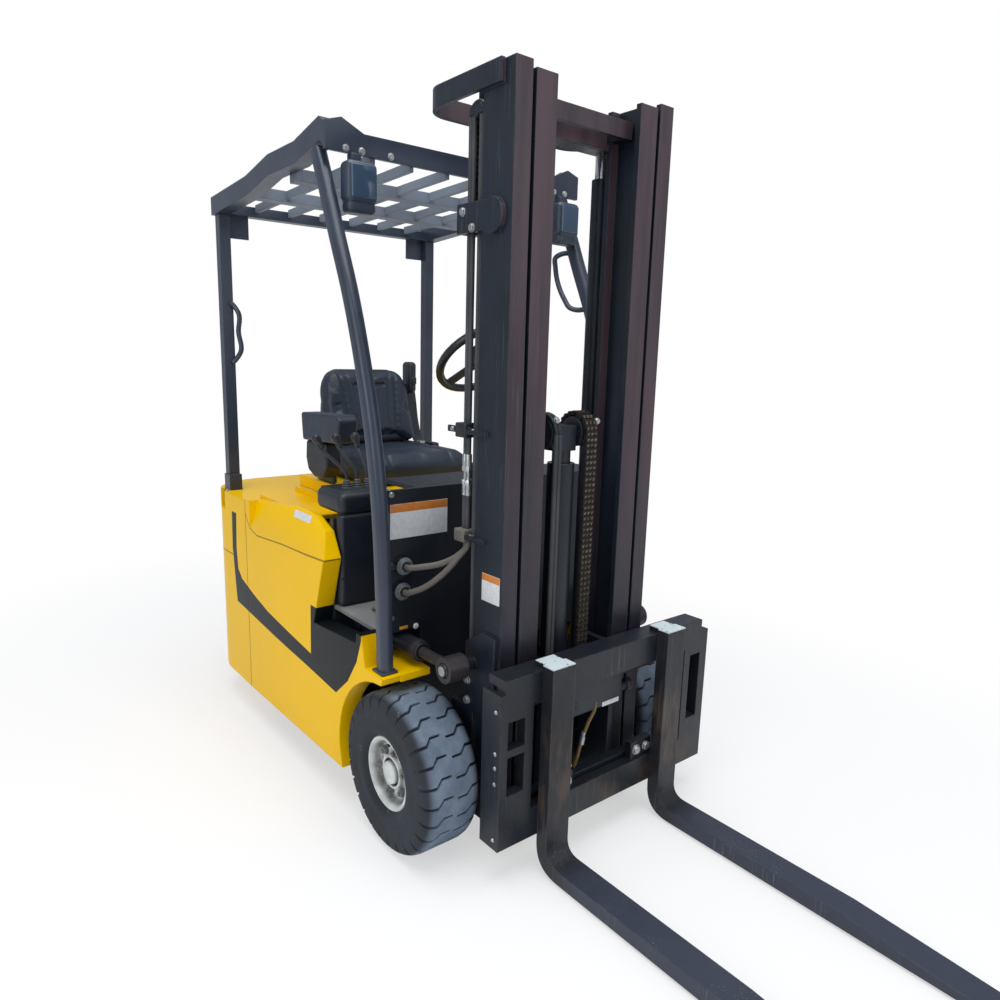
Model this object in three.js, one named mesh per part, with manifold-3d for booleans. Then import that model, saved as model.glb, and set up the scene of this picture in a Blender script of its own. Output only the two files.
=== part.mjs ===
// Electric three-wheel counterbalance forklift, at real size.
// Millimetres, +Z up, +X forward, +Y to the operator's left.
// The model is worked out from the front axle (x = 0) and then centred over the floor.
import * as THREE from 'three';
import { mergeVertices } from 'three/addons/utils/BufferGeometryUtils.js';
import Module from 'manifold-3d';

const wasm = await Module();
wasm.setup();

// ---------------------------------------------------------------- driving dimensions
const overallWidth = 1000;          // over the front tyres
const frontTyreRadius = 228;
const frontTyreWidth = 178;
const rearTyreRadius = 190;
const rearTyreWidth = 100;
const rearTyreSpacing = 130;        // between the two rear tyres' middles
const wheelbase = 1190;
const rearX = -1436;                // back of the counterweight
const rearCornerRadius = 230;
const groundClearance = 122;
const touchGap = 0.3;               // between pieces that rest on each other
const runGap = 6;                   // between pieces that move past each other
const wheelArchGap = 34;            // around a front tyre

const mastFrontX = 234;
const mastDepth = 120;
const mastHalfWidth = 281;
const mastFootZ = 95;
const mastTopZ = 2066;
const bowBottomZ = 2015;
const bowRearX = -150;
const flangeThickness = 17;
const outerWeb = 16;
const outerFrontFlange = 52;
const outerRearFlange = 36;
const innerOuterY = 217;            // outward edge of the inner upright's flanges
const innerClearY = 150;            // half the clear gap between the uprights

const forkLength = 1000;
const forkThickness = 40;
const forkWidth = 80;
const shankFrontX = 371;
const shankTopZ = 600;
const bladeTopZ = 48;
const forkSpread = 230;             // fork middle from the frame's middle
const sideshiftRest = 56;           // the forks stand this far to the left
const forkFrameY = [-352, 498];     // ends of the fork frame

const bodyHalfWidth = 500;
const hoodZ = 880;                  // top of the battery compartment
const floorZ = 600;
const frameFrontX = -100;           // front of the cowl
const roofFrontX = -335;
const roofRearX = -1272;
const roofPeakZ = 2020;
const roofRearZ = 1929;
const postHalfWidth = 470;
const legDepth = 50;
const legFootX = -46;               // middle of a front leg at its foot
const batteryLength = 522;
const batteryWidth = 830;
const batteryHeight = 580;

const tipX = shankFrontX + forkLength;
const centreShift = -(tipX + rearX) / 2;
const axleZ = frontTyreRadius;
const steerX = -wheelbase;

// ---------------------------------------------------------------- finishes
const finish = (color, roughness, metalness) => ({ color, roughness, metalness });
const yellowPaint = finish(0xf2c40c, 0.35, 0.0);
const blackPaint = finish(0x17191c, 0.45, 0.0);
const blackPlastic = finish(0x1c1d1f, 0.6, 0.0);
const vinyl = finish(0x1a1b1d, 0.55, 0.0);
const tyreRubber = finish(0x2c2e31, 0.85, 0.0);
const rimPaint = finish(0xd8d6cf, 0.55, 0.1);
const bareSteel = finish(0x8d9096, 0.35, 0.9);
const chainSteel = finish(0x4a4038, 0.5, 0.8);
const lampGrey = finish(0x4a4d52, 0.5, 0.0);

// ---------------------------------------------------------------- solid helpers
function solidOf(geometry) {
  const bare = geometry.clone();
  bare.deleteAttribute('normal');
  bare.deleteAttribute('uv');
  const merged = mergeVertices(bare, 1e-4);
  const vertProperties = new Float32Array(merged.attributes.position.array);
  const triVerts = new Uint32Array(merged.index.array);
  return new wasm.Manifold(new wasm.Mesh({ numProp: 3, vertProperties, triVerts }));
}

function geometryOf(solid) {
  const mesh = solid.getMesh();
  const geometry = new THREE.BufferGeometry();
  geometry.setAttribute('position', new THREE.BufferAttribute(new Float32Array(mesh.vertProperties), 3));
  geometry.setIndex(new THREE.BufferAttribute(new Uint32Array(mesh.triVerts), 1));
  const flat = geometry.toNonIndexed();
  flat.computeVertexNormals();
  return flat;
}

const join = (first, ...rest) => rest.reduce((sum, next) => sum.add(next), first);
const cut = (first, ...rest) => rest.reduce((sum, next) => sum.subtract(next), first);

function block(x0, x1, y0, y1, z0, z1) {
  const box = new THREE.BoxGeometry(x1 - x0, y1 - y0, z1 - z0);
  box.translate((x0 + x1) / 2, (y0 + y1) / 2, (z0 + z1) / 2);
  return solidOf(box);
}

const shapeOf = (points) => new THREE.Shape(points.map(([a, b]) => new THREE.Vector2(a, b)));

// An outline drawn out to a depth, before it is turned into place.
function extruded(outline, depth) {
  const shape = outline instanceof THREE.Shape ? outline : shapeOf(outline);
  return new THREE.ExtrudeGeometry(shape, { depth, bevelEnabled: false, curveSegments: 10 });
}

// A plan outline of [x, y] points, raised from z0 to z1.
function planPlate(outline, z0, z1) {
  const geometry = extruded(outline, z1 - z0);
  geometry.translate(0, 0, z0);
  return solidOf(geometry);
}

// A side outline of [x, z] points, spread from y0 to y1.
function sidePlate(outline, y0, y1) {
  const geometry = extruded(outline, y1 - y0);
  geometry.rotateX(Math.PI / 2);
  geometry.translate(0, y1, 0);
  return solidOf(geometry);
}

// A front outline of [y, z] points, spread from x0 to x1.
function frontPlate(outline, x0, x1) {
  const geometry = extruded(outline, x1 - x0);
  geometry.rotateX(Math.PI / 2);
  geometry.rotateZ(Math.PI / 2);
  geometry.translate(x0, 0, 0);
  return solidOf(geometry);
}

// A round bar from one point to another.
function bar(from, to, radius, sides = 16) {
  const start = new THREE.Vector3(...from);
  const end = new THREE.Vector3(...to);
  const along = end.clone().sub(start);
  const geometry = new THREE.CylinderGeometry(radius, radius, along.length(), sides);
  const direction = along.clone().normalize();
  const turn = new THREE.Quaternion().setFromUnitVectors(new THREE.Vector3(0, 1, 0), direction);
  geometry.applyQuaternion(turn);
  const middle = start.add(end).multiplyScalar(0.5);
  geometry.translate(middle.x, middle.y, middle.z);
  return solidOf(geometry);
}

// A flat-sided bar of section width (level) by height, from one point to another.
function beam(from, to, width, height) {
  const start = new THREE.Vector3(...from);
  const end = new THREE.Vector3(...to);
  const along = end.clone().sub(start);
  const geometry = new THREE.BoxGeometry(along.length(), width, height);
  const xAxis = along.clone().normalize();
  const yAxis = new THREE.Vector3(0, 0, 1).cross(xAxis).normalize();
  const zAxis = xAxis.clone().cross(yAxis);
  geometry.applyMatrix4(new THREE.Matrix4().makeBasis(xAxis, yAxis, zAxis));
  const middle = start.add(end).multiplyScalar(0.5);
  geometry.translate(middle.x, middle.y, middle.z);
  return solidOf(geometry);
}

// A turned shape: [radius, distance] points, its axis along Y, with distance 0 at y.
function turnedY(profile, x, y, z, sides) {
  const points = profile.map(([radius, along]) => new THREE.Vector2(radius, along));
  const geometry = new THREE.LatheGeometry(points, sides);
  geometry.translate(x, y, z);
  return solidOf(geometry);
}

// A smooth round tube through points.
function tube(points, radius, steps, sides = 8) {
  const curve = new THREE.CatmullRomCurve3(points.map((p) => new THREE.Vector3(...p)), false, 'centripetal');
  const section = new THREE.Shape();
  section.absarc(0, 0, radius, 0, 2 * Math.PI, false);
  const geometry = new THREE.ExtrudeGeometry(section, {
    steps, extrudePath: curve, bevelEnabled: false, curveSegments: sides / 2,
  });
  return solidOf(geometry);
}

// A flat strip of the given depth that follows a smooth side-view curve, spread from y0 to y1.
function strip(points, depth, y0, y1, steps) {
  const curve = new THREE.SplineCurve(points.map(([x, z]) => new THREE.Vector2(x, z)));
  const edge = (side) => Array.from({ length: steps + 1 }, (_, i) => {
    const at = curve.getPoint(i / steps);
    const along = curve.getTangent(i / steps);
    return [at.x - along.y * side * depth / 2, at.y + along.x * side * depth / 2];
  });
  return sidePlate([...edge(-1), ...edge(1).reverse()], y0, y1);
}

// The upper half of a loop round a sheave whose axis is along Y.
function loopOver(x, y, z, reach, radius, sides = 8) {
  const points = Array.from({ length: 13 }, (_, i) => {
    const angle = Math.PI * (1 - i / 12);
    return [x + reach * Math.cos(angle), y, z + reach * Math.sin(angle)];
  });
  return tube(points, radius, 16, sides);
}

const mirrored = (solid) => solid.mirror([0, 1, 0]);

// The Y range from near to far on the side that sign names: -1 right, 1 left.
const span = (sign, near, far) => (sign > 0 ? [near, far] : [-far, -near]);

// ---------------------------------------------------------------- the assembly
const forklift = new THREE.Group();
forklift.position.x = centreShift;

function place(name, solid, look) {
  const material = new THREE.MeshStandardMaterial(look);
  const mesh = new THREE.Mesh(geometryOf(solid), material);
  mesh.name = name;
  forklift.add(mesh);
}

function placePair(name, rightSolid, look) {
  place(`${name}_right`, rightSolid, look);
  place(`${name}_left`, mirrored(rightSolid), look);
}

// ---------------------------------------------------------------- wheels
const tyreSides = 40;
const frontRimRadius = 106;
const rearRimRadius = 102;
const rimInset = 12;                // the rim's edge stands this far inside the tyre's side
const rimDish = 42;
const frontTyreY = (overallWidth - frontTyreWidth) / 2;

// A tyre as a closed ring around its rim.
function tyre(radius, width, rimRadius, x, y, z) {
  const half = width / 2;
  const shoulder = 22;
  const ring = [
    [rimRadius + touchGap, -half + 10], [radius - 34, -half], [radius - 8, -half + shoulder / 2],
    [radius, -half + shoulder], [radius, half - shoulder], [radius - 8, half - shoulder / 2],
    [radius - 34, half], [rimRadius + touchGap, half - 10],
  ];
  return turnedY([...ring, ring[0]], x, y, z, tyreSides);
}

// A dished rim with a domed hub, open to the side that outSign names; a bore takes the axle stub.
function rim(radius, width, outSign, x, y, z) {
  const half = width / 2 - rimInset;
  const bore = axleStubRadius + 1;
  const face = half - rimDish;
  const boreEnd = face - 10;
  const profile = [
    [0, boreEnd], [bore, boreEnd], [bore, -half + 20], [radius - 12, -half + 20], [radius - 12, -half],
    [radius, -half], [radius, half], [radius - 12, half], [radius - 16, face], [62, face],
    [48, face + 26], [32, face + 34], [0, face + 34],
  ].map(([r, along]) => [r, along * outSign]);
  return turnedY(outSign > 0 ? profile : profile.reverse(), x, y, z, tyreSides);
}

const axleStubRadius = 34;
for (const [side, sign] of [['right', -1], ['left', 1]]) {
  const y = sign * frontTyreY;
  place(`front_tyre_${side}`, tyre(frontTyreRadius, frontTyreWidth, frontRimRadius, 0, y, axleZ), tyreRubber);
  place(`front_rim_${side}`, rim(frontRimRadius, frontTyreWidth, sign, 0, y, axleZ), rimPaint);
}

const rearTyreY = rearTyreSpacing / 2;
const rearHalfWidth = rearTyreY + rearTyreWidth / 2;
const rearAxleRadius = 25;
const tyreSplit = rearTyreY - rearTyreWidth / 2;
for (const [side, sign] of [['right', -1], ['left', 1]]) {
  place(`rear_tyre_${side}`,
    tyre(rearTyreRadius, rearTyreWidth, rearRimRadius, steerX, sign * rearTyreY, rearTyreRadius), tyreRubber);
}
const hubHalf = rearHalfWidth - 10;
const hubProfile = [
  [0, hubHalf], [60, hubHalf], [rearRimRadius - 20, hubHalf - 25], [rearRimRadius, hubHalf],
  [rearRimRadius, tyreSplit], [rearAxleRadius, tyreSplit],
];
place('rear_hub', turnedY(
  [...hubProfile.map(([r, along]) => [r, -along]), ...hubProfile.slice().reverse()],
  steerX, 0, rearTyreRadius, tyreSides), rimPaint);

// ---------------------------------------------------------------- steered knuckle
const knuckleTopZ = 414;
const kingpinRadius = 40;
const kingpinTopZ = 500;
const knuckleHalfThick = tyreSplit - runGap;
place('steer_knuckle', cut(join(
  block(steerX - 45, steerX + 45, -knuckleHalfThick, knuckleHalfThick, rearTyreRadius, knuckleTopZ),
  bar([steerX, -knuckleHalfThick, rearTyreRadius], [steerX, knuckleHalfThick, rearTyreRadius], 45, 24),
  bar([steerX, 0, knuckleTopZ - 18], [steerX, 0, knuckleTopZ], 110, 32),
  bar([steerX, 0, knuckleTopZ - 1], [steerX, 0, kingpinTopZ], kingpinRadius, 24),
), bar([steerX, -50, rearTyreRadius], [steerX, 50, rearTyreRadius], rearAxleRadius + 1, 24)), blackPaint);

// ---------------------------------------------------------------- counterweight and battery
const counterweightFrontX = -990;
const counterweightTopZ = 846;
const steerCaveRadius = Math.hypot(rearTyreRadius, rearHalfWidth) + runGap;
const postX = [-1262, -1222];       // a rear post of the overhead guard
const footX = -1206;                // front of its wider foot
const footZ = 775;

function rearPlan(inset) {
  const radius = rearCornerRadius - inset;
  const outline = new THREE.Shape();
  const half = bodyHalfWidth - inset;
  const backX = rearX + inset;
  outline.moveTo(counterweightFrontX, -half);
  outline.lineTo(counterweightFrontX, half);
  outline.lineTo(backX + radius, half);
  outline.absarc(backX + radius, half - radius, radius, Math.PI / 2, Math.PI, false);
  outline.lineTo(backX, -half + radius);
  outline.absarc(backX + radius, -half + radius, radius, Math.PI, 1.5 * Math.PI, false);
  return outline;
}
place('counterweight', cut(
  planPlate(rearPlan(0), groundClearance, counterweightTopZ),
  bar([steerX, 0, 0], [steerX, 0, knuckleTopZ + runGap], steerCaveRadius, 40),
  bar([steerX, 0, knuckleTopZ], [steerX, 0, kingpinTopZ + runGap], kingpinRadius + 1, 24),
  ...[-1, 1].map((sign) => block(postX[0] - 4, footX + 4,
    ...span(sign, postHalfWidth - 46, bodyHalfWidth + 1), footZ, counterweightTopZ + 1)),
), yellowPaint);

const batteryRearX = -950;
const batteryFrontX = batteryRearX + batteryLength;
const batteryFootZ = hoodZ - 46 - batteryHeight;
place('battery', block(batteryRearX, batteryFrontX, -batteryWidth / 2, batteryWidth / 2,
  batteryFootZ, batteryFootZ + batteryHeight), blackPaint);

// ---------------------------------------------------------------- chassis frame and drive axle
const panelInnerY = bodyHalfWidth - 60;
const axleTubeRadius = 55;
const axleFrontX = mastFrontX - mastDepth - 94;
const axleRearX = -110;
const tiltY = 361;                  // middle of a tilt cylinder
const tiltHalf = 31;
const tiltEyeX = 132;
const tiltEyeZ = 558;
const tiltBaseX = -330;
const tiltBaseZ = 548;
const tiltPinRadius = 18;
const railOuterY = 322;
const bellyTopZ = 150;
const bulkheadX = batteryFrontX + 4;
const rail = (sign) => join(
  block(bulkheadX + 1, axleRearX - touchGap, ...span(sign, 290, railOuterY), 150, 330),
  block(tiltBaseX - 30, tiltBaseX + 30, ...span(sign, 300, railOuterY), 320, tiltBaseZ + 28),
  bar([tiltBaseX, sign * 310, tiltBaseZ], [tiltBaseX, sign * (tiltY + tiltHalf + 6), tiltBaseZ],
    tiltPinRadius, 20),
);
const frameRearX = counterweightFrontX + touchGap;
const frameHalf = panelInnerY - touchGap;
const batteryRail = (sign) => block(frameRearX, batteryFrontX,
  ...span(sign, batteryWidth / 2 - 60, batteryWidth / 2), bellyTopZ - 1, batteryFootZ - touchGap);
place('chassis_frame', join(
  cut(block(frameRearX, bulkheadX + 20, -frameHalf, frameHalf, bellyTopZ - 20, bellyTopZ),
    bar([steerX, 0, 0], [steerX, 0, bellyTopZ + 1], steerCaveRadius + 4, 40)),
  block(bulkheadX, bulkheadX + 20, -frameHalf, frameHalf, bellyTopZ - 1, hoodZ - 2),
  batteryRail(-1), batteryRail(1),
  rail(-1), rail(1),
), blackPaint);

const axleBeamHalf = 250;
const stubEnd = frontTyreY + frontTyreWidth / 2 - rimInset - rimDish - 12;
place('drive_axle', join(
  block(axleRearX, axleFrontX, -axleBeamHalf, axleBeamHalf, 150, 330),
  bar([0, -railOuterY + 4, axleZ], [0, railOuterY - 4, axleZ], axleTubeRadius, 32),
  bar([0, -stubEnd, axleZ], [0, stubEnd, axleZ], axleStubRadius, 24),
), blackPaint);

// ---------------------------------------------------------------- body panels
const archRadius = frontTyreRadius + wheelArchGap;
const fenderTopZ = 510;
const fenderFrontX = 0;
const pillarX = -120;
const stepZ = floorZ - 30;

const hoodRightY = -286;
const consoleRearX = -540;

function archPoints(fromDegrees, toDegrees, steps) {
  return Array.from({ length: steps + 1 }, (_, i) => {
    const angle = (fromDegrees + (toDegrees - fromDegrees) * i / steps) * Math.PI / 180;
    return [archRadius * Math.cos(angle), axleZ + archRadius * Math.sin(angle)];
  });
}
const sideOutline = [
  [frameRearX, groundClearance], ...archPoints(201, 92, 12), [fenderFrontX, fenderTopZ],
  [pillarX + 22, fenderTopZ], [pillarX, floorZ], [pillarX - 26, floorZ], [pillarX - 30, stepZ],
  [-426, stepZ - 22], [-352, 764], [-398, 842], [-483, hoodZ - 4], [-640, hoodZ], [-800, 862],
  [frameRearX, counterweightTopZ],
];

// The upper facet of a side panel leans inwards from a groove up to the deck.
const facetX = [-946, -340];
const facetY = 455;
const facetZ = 752;
const facetCut = frontPlate(
  [[-bodyHalfWidth - 1, facetZ], [-facetY, hoodZ + 1], [-bodyHalfWidth - 1, hoodZ + 1]], ...facetX);
const fenderShelf = cut(
  block(-235, fenderFrontX, -panelInnerY - 1, -345, fenderTopZ - 20, fenderTopZ),
  bar([0, -600, axleZ], [0, -300, axleZ], archRadius - 6, 48),
);
const sidePanel = join(cut(sidePlate(sideOutline, -bodyHalfWidth, -panelInnerY), facetCut), fenderShelf);
const deckY = hoodRightY - runGap;
const deckStrip = block(frameRearX, consoleRearX - runGap, -panelInnerY - 1, deckY, hoodZ - 34, hoodZ - 20);
const deckLip = block(frameRearX, consoleRearX - runGap, deckY - 12, deckY, hoodZ - 21, hoodZ);
place('side_panel_right', join(sidePanel, deckStrip, deckLip), yellowPaint);
place('side_panel_left', mirrored(sidePanel), yellowPaint);

// ---------------------------------------------------------------- operator's floor and cowl
const cowlTopZ = 1012;
const cowlThick = 16;
const cowlHalf = panelInnerY - 4;
const tiltSlotY0 = tiltY - tiltHalf - 14;
const bulkheadFrontX = bulkheadX + 20;
place('floor_plate', block(bulkheadFrontX + touchGap, frameFrontX - cowlThick - touchGap,
  -panelInnerY + 1, panelInnerY - 1, floorZ - 12, floorZ), blackPlastic);
const grommets = [[-378, 793], [-384, 720]];     // [y, z] where the supply hoses enter the cowl
const grommetEndX = frameFrontX + 14;
place('front_cowl', join(
  cut(
    join(
      block(frameFrontX - cowlThick, frameFrontX, -cowlHalf, cowlHalf, 480, cowlTopZ),
      block(frameFrontX - 190, frameFrontX, -cowlHalf, cowlHalf, cowlTopZ - 14, cowlTopZ),
    ),
    block(frameFrontX - 60, frameFrontX + 10, -cowlHalf - 1, -tiltSlotY0, 470, floorZ - 6),
    block(frameFrontX - 60, frameFrontX + 10, tiltSlotY0, cowlHalf + 1, 470, floorZ - 6),
    block(frameFrontX - 200, frameFrontX - cowlThick, -cowlHalf - 1, -322, cowlTopZ - 20, cowlTopZ + 1),
  ),
  ...grommets.map(([y, z]) => bar([frameFrontX - 1, y, z], [grommetEndX, y, z], 24, 20)),
), blackPlastic);
const consoleFrontX = -365;
const consoleTopZ = 965;
const consoleY = [-434, -292];
const levers = [-1, 0, 1].map((i) => ({ foot: -362 + i * 37, top: -375 + i * 66 }));   // Y of each lever
place('lever_console', join(
  block(bulkheadFrontX + touchGap, consoleFrontX, consoleY[0], consoleY[1] - 8,
    floorZ + touchGap, hoodZ + 12),
  block(consoleRearX, consoleFrontX, ...consoleY, hoodZ + 11, consoleTopZ),
  ...levers.flatMap(({ foot, top }) => [
    bar([-445, foot, consoleTopZ - 4], [-492, top, 1100], 7, 10),
    bar([-486, foot + (top - foot) * 0.86, 1082], [-500, top, 1132], 14, 12),
  ]),
), blackPlastic);

// ---------------------------------------------------------------- steering column and wheel
const wheelCentre = [-226, 0, 1378];
const wheelLean = 41;
const wheelRadius = 150;
const bossHalf = 30;
const columnDirection = [Math.sin(wheelLean * Math.PI / 180), -Math.cos(wheelLean * Math.PI / 180)];
const columnPoint = (along) => [wheelCentre[0] + columnDirection[0] * along, 0,
  wheelCentre[2] + columnDirection[1] * along];
place('steering_column', cut(join(
  bar(columnPoint(bossHalf + touchGap), columnPoint(150), 30, 20),
  bar(columnPoint(144), [-158, 0, cowlTopZ + 30], 34, 20),
  block(-205, -112, -75, 75, cowlTopZ + touchGap, cowlTopZ + 42),
), block(-600, 0, -200, 200, cowlTopZ - 100, cowlTopZ + touchGap)), blackPlastic);

// The rim, its three spokes and the boss, tilted to face the seat.
const wheelTurn = new THREE.Matrix4().makeRotationY(-wheelLean * Math.PI / 180)
  .setPosition(wheelCentre[0], wheelCentre[1], wheelCentre[2]);
function leaned(geometry) {
  geometry.applyMatrix4(wheelTurn);
  return solidOf(geometry);
}
const rimRing = new THREE.TorusGeometry(wheelRadius, 13, 10, 40);
const boss = new THREE.CylinderGeometry(45, 38, 2 * bossHalf, 24);
boss.rotateX(Math.PI / 2);
const spokes = [90, 210, 330].map((degrees) => {
  const spoke = new THREE.BoxGeometry(wheelRadius, 26, 12);
  spoke.translate(wheelRadius / 2, 0, 0);
  spoke.rotateZ(degrees * Math.PI / 180);
  return leaned(spoke);
});
place('steering_wheel', join(leaned(rimRing), leaned(boss), ...spokes), blackPlastic);

// ---------------------------------------------------------------- battery hood and seat
const hoodRearX = counterweightFrontX + 4;
const hoodFrontX = bulkheadFrontX;
const hoodTopZ = 925;
const hoodLeftY = panelInnerY;
const cushionHalf = 225;
const backHalf = 198;
const cushionTopZ = 1032;
const backTopZ = 1325;
place('battery_hood', block(hoodRearX, hoodFrontX, hoodRightY, hoodLeftY, hoodZ + touchGap, hoodTopZ),
  yellowPaint);
place('seat_cushion', block(-1010, -550, -cushionHalf, cushionHalf, hoodTopZ + touchGap, cushionTopZ), vinyl);
place('seat_backrest', sidePlate([
  [-1010, cushionTopZ + touchGap], [-905, cushionTopZ + touchGap], [-930, 1150], [-985, backTopZ],
  [-1055, backTopZ], [-1050, 1150],
], -backHalf, backHalf), vinyl);
const armrestY = [-334, -262];
place('armrest_box', join(
  sidePlate([[-850, 1074], [-580, 1084], [-565, 1165], [-590, 1180], [-860, 1172]], ...armrestY),
  sidePlate([[-857, 1010], [-840, 965], [-790, 945], [-720, 950], [-690, 990], [-700, 1075], [-850, 1075]],
    armrestY[0] + 14, armrestY[1]),
  block(-850, -720, hoodRightY + 4, armrestY[1], hoodTopZ + touchGap, 960),
), blackPlastic);

// ---------------------------------------------------------------- overhead guard
const railHeight = 62;
const railY = [postHalfWidth - 40, postHalfWidth + 10];
const railFrontX = roofFrontX - 12;
const railTop = [
  [roofRearX, roofRearZ], [-926, 1950], [-735, 1984], [-540, 1986], [-372, roofPeakZ], [railFrontX, 2004],
];
const railBottom = railTop.map(([x, z]) => [x, z - railHeight]);
const roofRail = (sign) => sidePlate([...railBottom, ...railTop.slice().reverse()], ...span(sign, ...railY));

// Everything above the rails' undersides, to trim the legs and posts that meet them.
const aboveRails = sidePlate([
  [roofRearX - 100, roofRearZ - railHeight - touchGap],
  ...railBottom.map(([x, z]) => [x, z - touchGap]), [railFrontX + 200, 1935],
  [railFrontX + 200, roofPeakZ + 200], [roofRearX - 100, roofPeakZ + 200],
], -bodyHalfWidth, bodyHalfWidth);
const plateLowZ = 1930;
const plateTopZ = 1988;
const rearBarX = roofRearX + 46;
const gusset = (sign) => block(roofRearX + 10, roofRearX + 20,
  ...span(sign, railY[0] - 80, railY[0] - touchGap), 1792, roofRearZ - railHeight + 10);
place('guard_roof', join(
  roofRail(-1), roofRail(1), gusset(-1), gusset(1),
  frontPlate([
    [-railY[1], plateLowZ], [railY[1], plateLowZ], [railY[1], 2004], [railY[0], roofPeakZ],
    [railY[0] - 70, plateTopZ], [-railY[0] + 70, plateTopZ], [-railY[0], roofPeakZ], [-railY[1], 2004],
  ], railFrontX - 1, roofFrontX),
  block(roofRearX, rearBarX, -railY[0] - 5, railY[0] + 5, roofRearZ - railHeight + 6, roofRearZ - 20),
), blackPaint);

// The grille between the rails: lengthwise slats on two wide cross bars.
const grilleHeight = 28;
const slatSpacing = 130;
const grilleX = [rearBarX + touchGap, railFrontX - 1 - touchGap];
const grilleTopZ = (x) => 1915 + (x - roofRearX) * 30 / (roofFrontX - roofRearX);
const grilleBar = (x0, x1, y0, y1, height) => sidePlate([
  [x0, grilleTopZ(x0) - height], [x1, grilleTopZ(x1) - height], [x1, grilleTopZ(x1)], [x0, grilleTopZ(x0)],
], y0, y1);
const grilleHalf = railY[0] - touchGap;
place('roof_grille', join(
  ...Array.from({ length: 6 }, (_, i) => (i - 2.5) * slatSpacing)
    .map((y) => grilleBar(...grilleX, y - 7, y + 7, grilleHeight)),
  ...[-660, -960].map((x) => grilleBar(x - 24, x + 24, -grilleHalf, grilleHalf, grilleHeight + 8)),
), blackPaint);

const legY = [-postHalfWidth - 15, -postHalfWidth + 25];
placePair('guard_leg_front', cut(
  strip([[legFootX, fenderTopZ - 20], [-54, 720], [-77, 1000], [-108, 1170], [-158, 1350], [-228, 1545],
    [-300, 1700], [-372, 1862], [-430, 2000]], legDepth, ...legY, 24),
  block(-400, 100, -520, -400, 0, fenderTopZ + touchGap),
  aboveRails,
), blackPaint);
placePair('guard_leg_rear', cut(join(
  block(...postX, -postHalfWidth, -postHalfWidth + 40, footZ + touchGap, roofRearZ),
  block(postX[0], footX, -postHalfWidth - 6, -postHalfWidth + 42, footZ + touchGap, 906),
), aboveRails), blackPaint);
const lampLowZ = 1765;
const lampTopZ = 1905;
placePair('work_lamp', join(
  frontPlate([[-443, lampTopZ], [-345, lampTopZ], [-353, lampLowZ + 17], [-363, lampLowZ], [-425, lampLowZ],
    [-437, lampLowZ + 17]], roofFrontX, roofFrontX + 63),
  block(railFrontX, roofFrontX + 10, -430, -400, lampTopZ - 10, plateLowZ - touchGap),
), lampGrey);

// ---------------------------------------------------------------- mast uprights
const mastRearX = mastFrontX - mastDepth;
const throatRearX = mastRearX + flangeThickness;
const throatFrontX = mastFrontX - flangeThickness;
const slideGap = 4;

// An upright's plan section: a web with a front and a rear flange; near is the operator-side edge.
function upright(sign, web, frontFlange, rearFlange, rearX0, frontX0, z0, z1) {
  return join(
    block(rearX0, frontX0, ...span(sign, web[0], web[1]), z0, z1),
    block(frontX0 - flangeThickness, frontX0, ...span(sign, frontFlange[0], frontFlange[1]), z0, z1),
    block(rearX0, rearX0 + flangeThickness, ...span(sign, rearFlange[0], rearFlange[1]), z0, z1),
  );
}
const outerY = [mastHalfWidth - outerFrontFlange, mastHalfWidth];
const outerRearY = [mastHalfWidth - outerRearFlange, mastHalfWidth];
const middleTopZ = mastTopZ - 10;
const innerTopZ = mastTopZ - 14;

const outerUpright = (sign) => cut(join(
  upright(sign, [mastHalfWidth - outerWeb, mastHalfWidth], outerY, outerRearY, mastRearX, mastFrontX,
    mastFootZ, mastTopZ),
  sidePlate([[-80, 158], [mastRearX + 30, 110], [mastRearX + 30, 330], [-10, 312], [-80, 290]],
    ...span(sign, mastHalfWidth - outerWeb, mastHalfWidth)),
  sidePlate([[96, 420], [mastFrontX - 10, 400], [mastFrontX - 10, 650], [170, 655], [96, 610]],
    ...span(sign, mastHalfWidth - 1, mastHalfWidth + 12)),
  bar([tiltEyeX, sign * (mastHalfWidth - 2), tiltEyeZ], [tiltEyeX, sign * (tiltY + tiltHalf + 6), tiltEyeZ],
    tiltPinRadius, 20),
), bar([0, sign * 200, axleZ], [0, sign * 320, axleZ], axleTubeRadius + 1, 32));

// A flat band welded outside both uprights, bowed round behind them.
const bandThick = 12;
const bowTopZ = mastTopZ + 2;
const bowCorner = 85;
function bowShape(inset) {
  const shape = new THREE.Shape();
  const half = mastHalfWidth + bandThick - inset;
  const rear = bowRearX + inset;
  const radius = bowCorner - inset;
  shape.moveTo(mastFrontX - 40, -half);
  shape.lineTo(mastFrontX - 40, half);
  shape.lineTo(rear + radius, half);
  shape.absarc(rear + radius, half - radius, radius, Math.PI / 2, Math.PI, false);
  shape.lineTo(rear, -half + radius);
  shape.absarc(rear + radius, -half + radius, radius, Math.PI, 1.5 * Math.PI, false);
  return shape;
}
const bow = cut(planPlate(bowShape(0), bowBottomZ, bowTopZ),
  planPlate(bowShape(bandThick), bowBottomZ - 5, bowTopZ + 5),
  block(mastFrontX - 60, mastFrontX + 50, -mastHalfWidth + 1, mastHalfWidth - 1,
    bowBottomZ - 10, bowTopZ + 10));
const cylinderX = mastRearX - 52;
const cylinderY = 190;
const barrelRadius = 28;
const footTieTopZ = axleZ - axleTubeRadius - 8;
const shelfZ = [296, 322];
const footBeamX = [mastRearX - 84, mastRearX - 14];
const shelfX = [cylinderX - barrelRadius, cylinderX + barrelRadius - 1];
const gussetY = [mastHalfWidth - 6, mastHalfWidth + 12];
const cylinderShelf = (sign) => join(
  block(...shelfX, ...span(sign, 150, gussetY[1]), ...shelfZ),
  block(shelfX[0], mastRearX + 20, ...span(sign, mastHalfWidth, gussetY[1]), shelfZ[0], 420),
);
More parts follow.
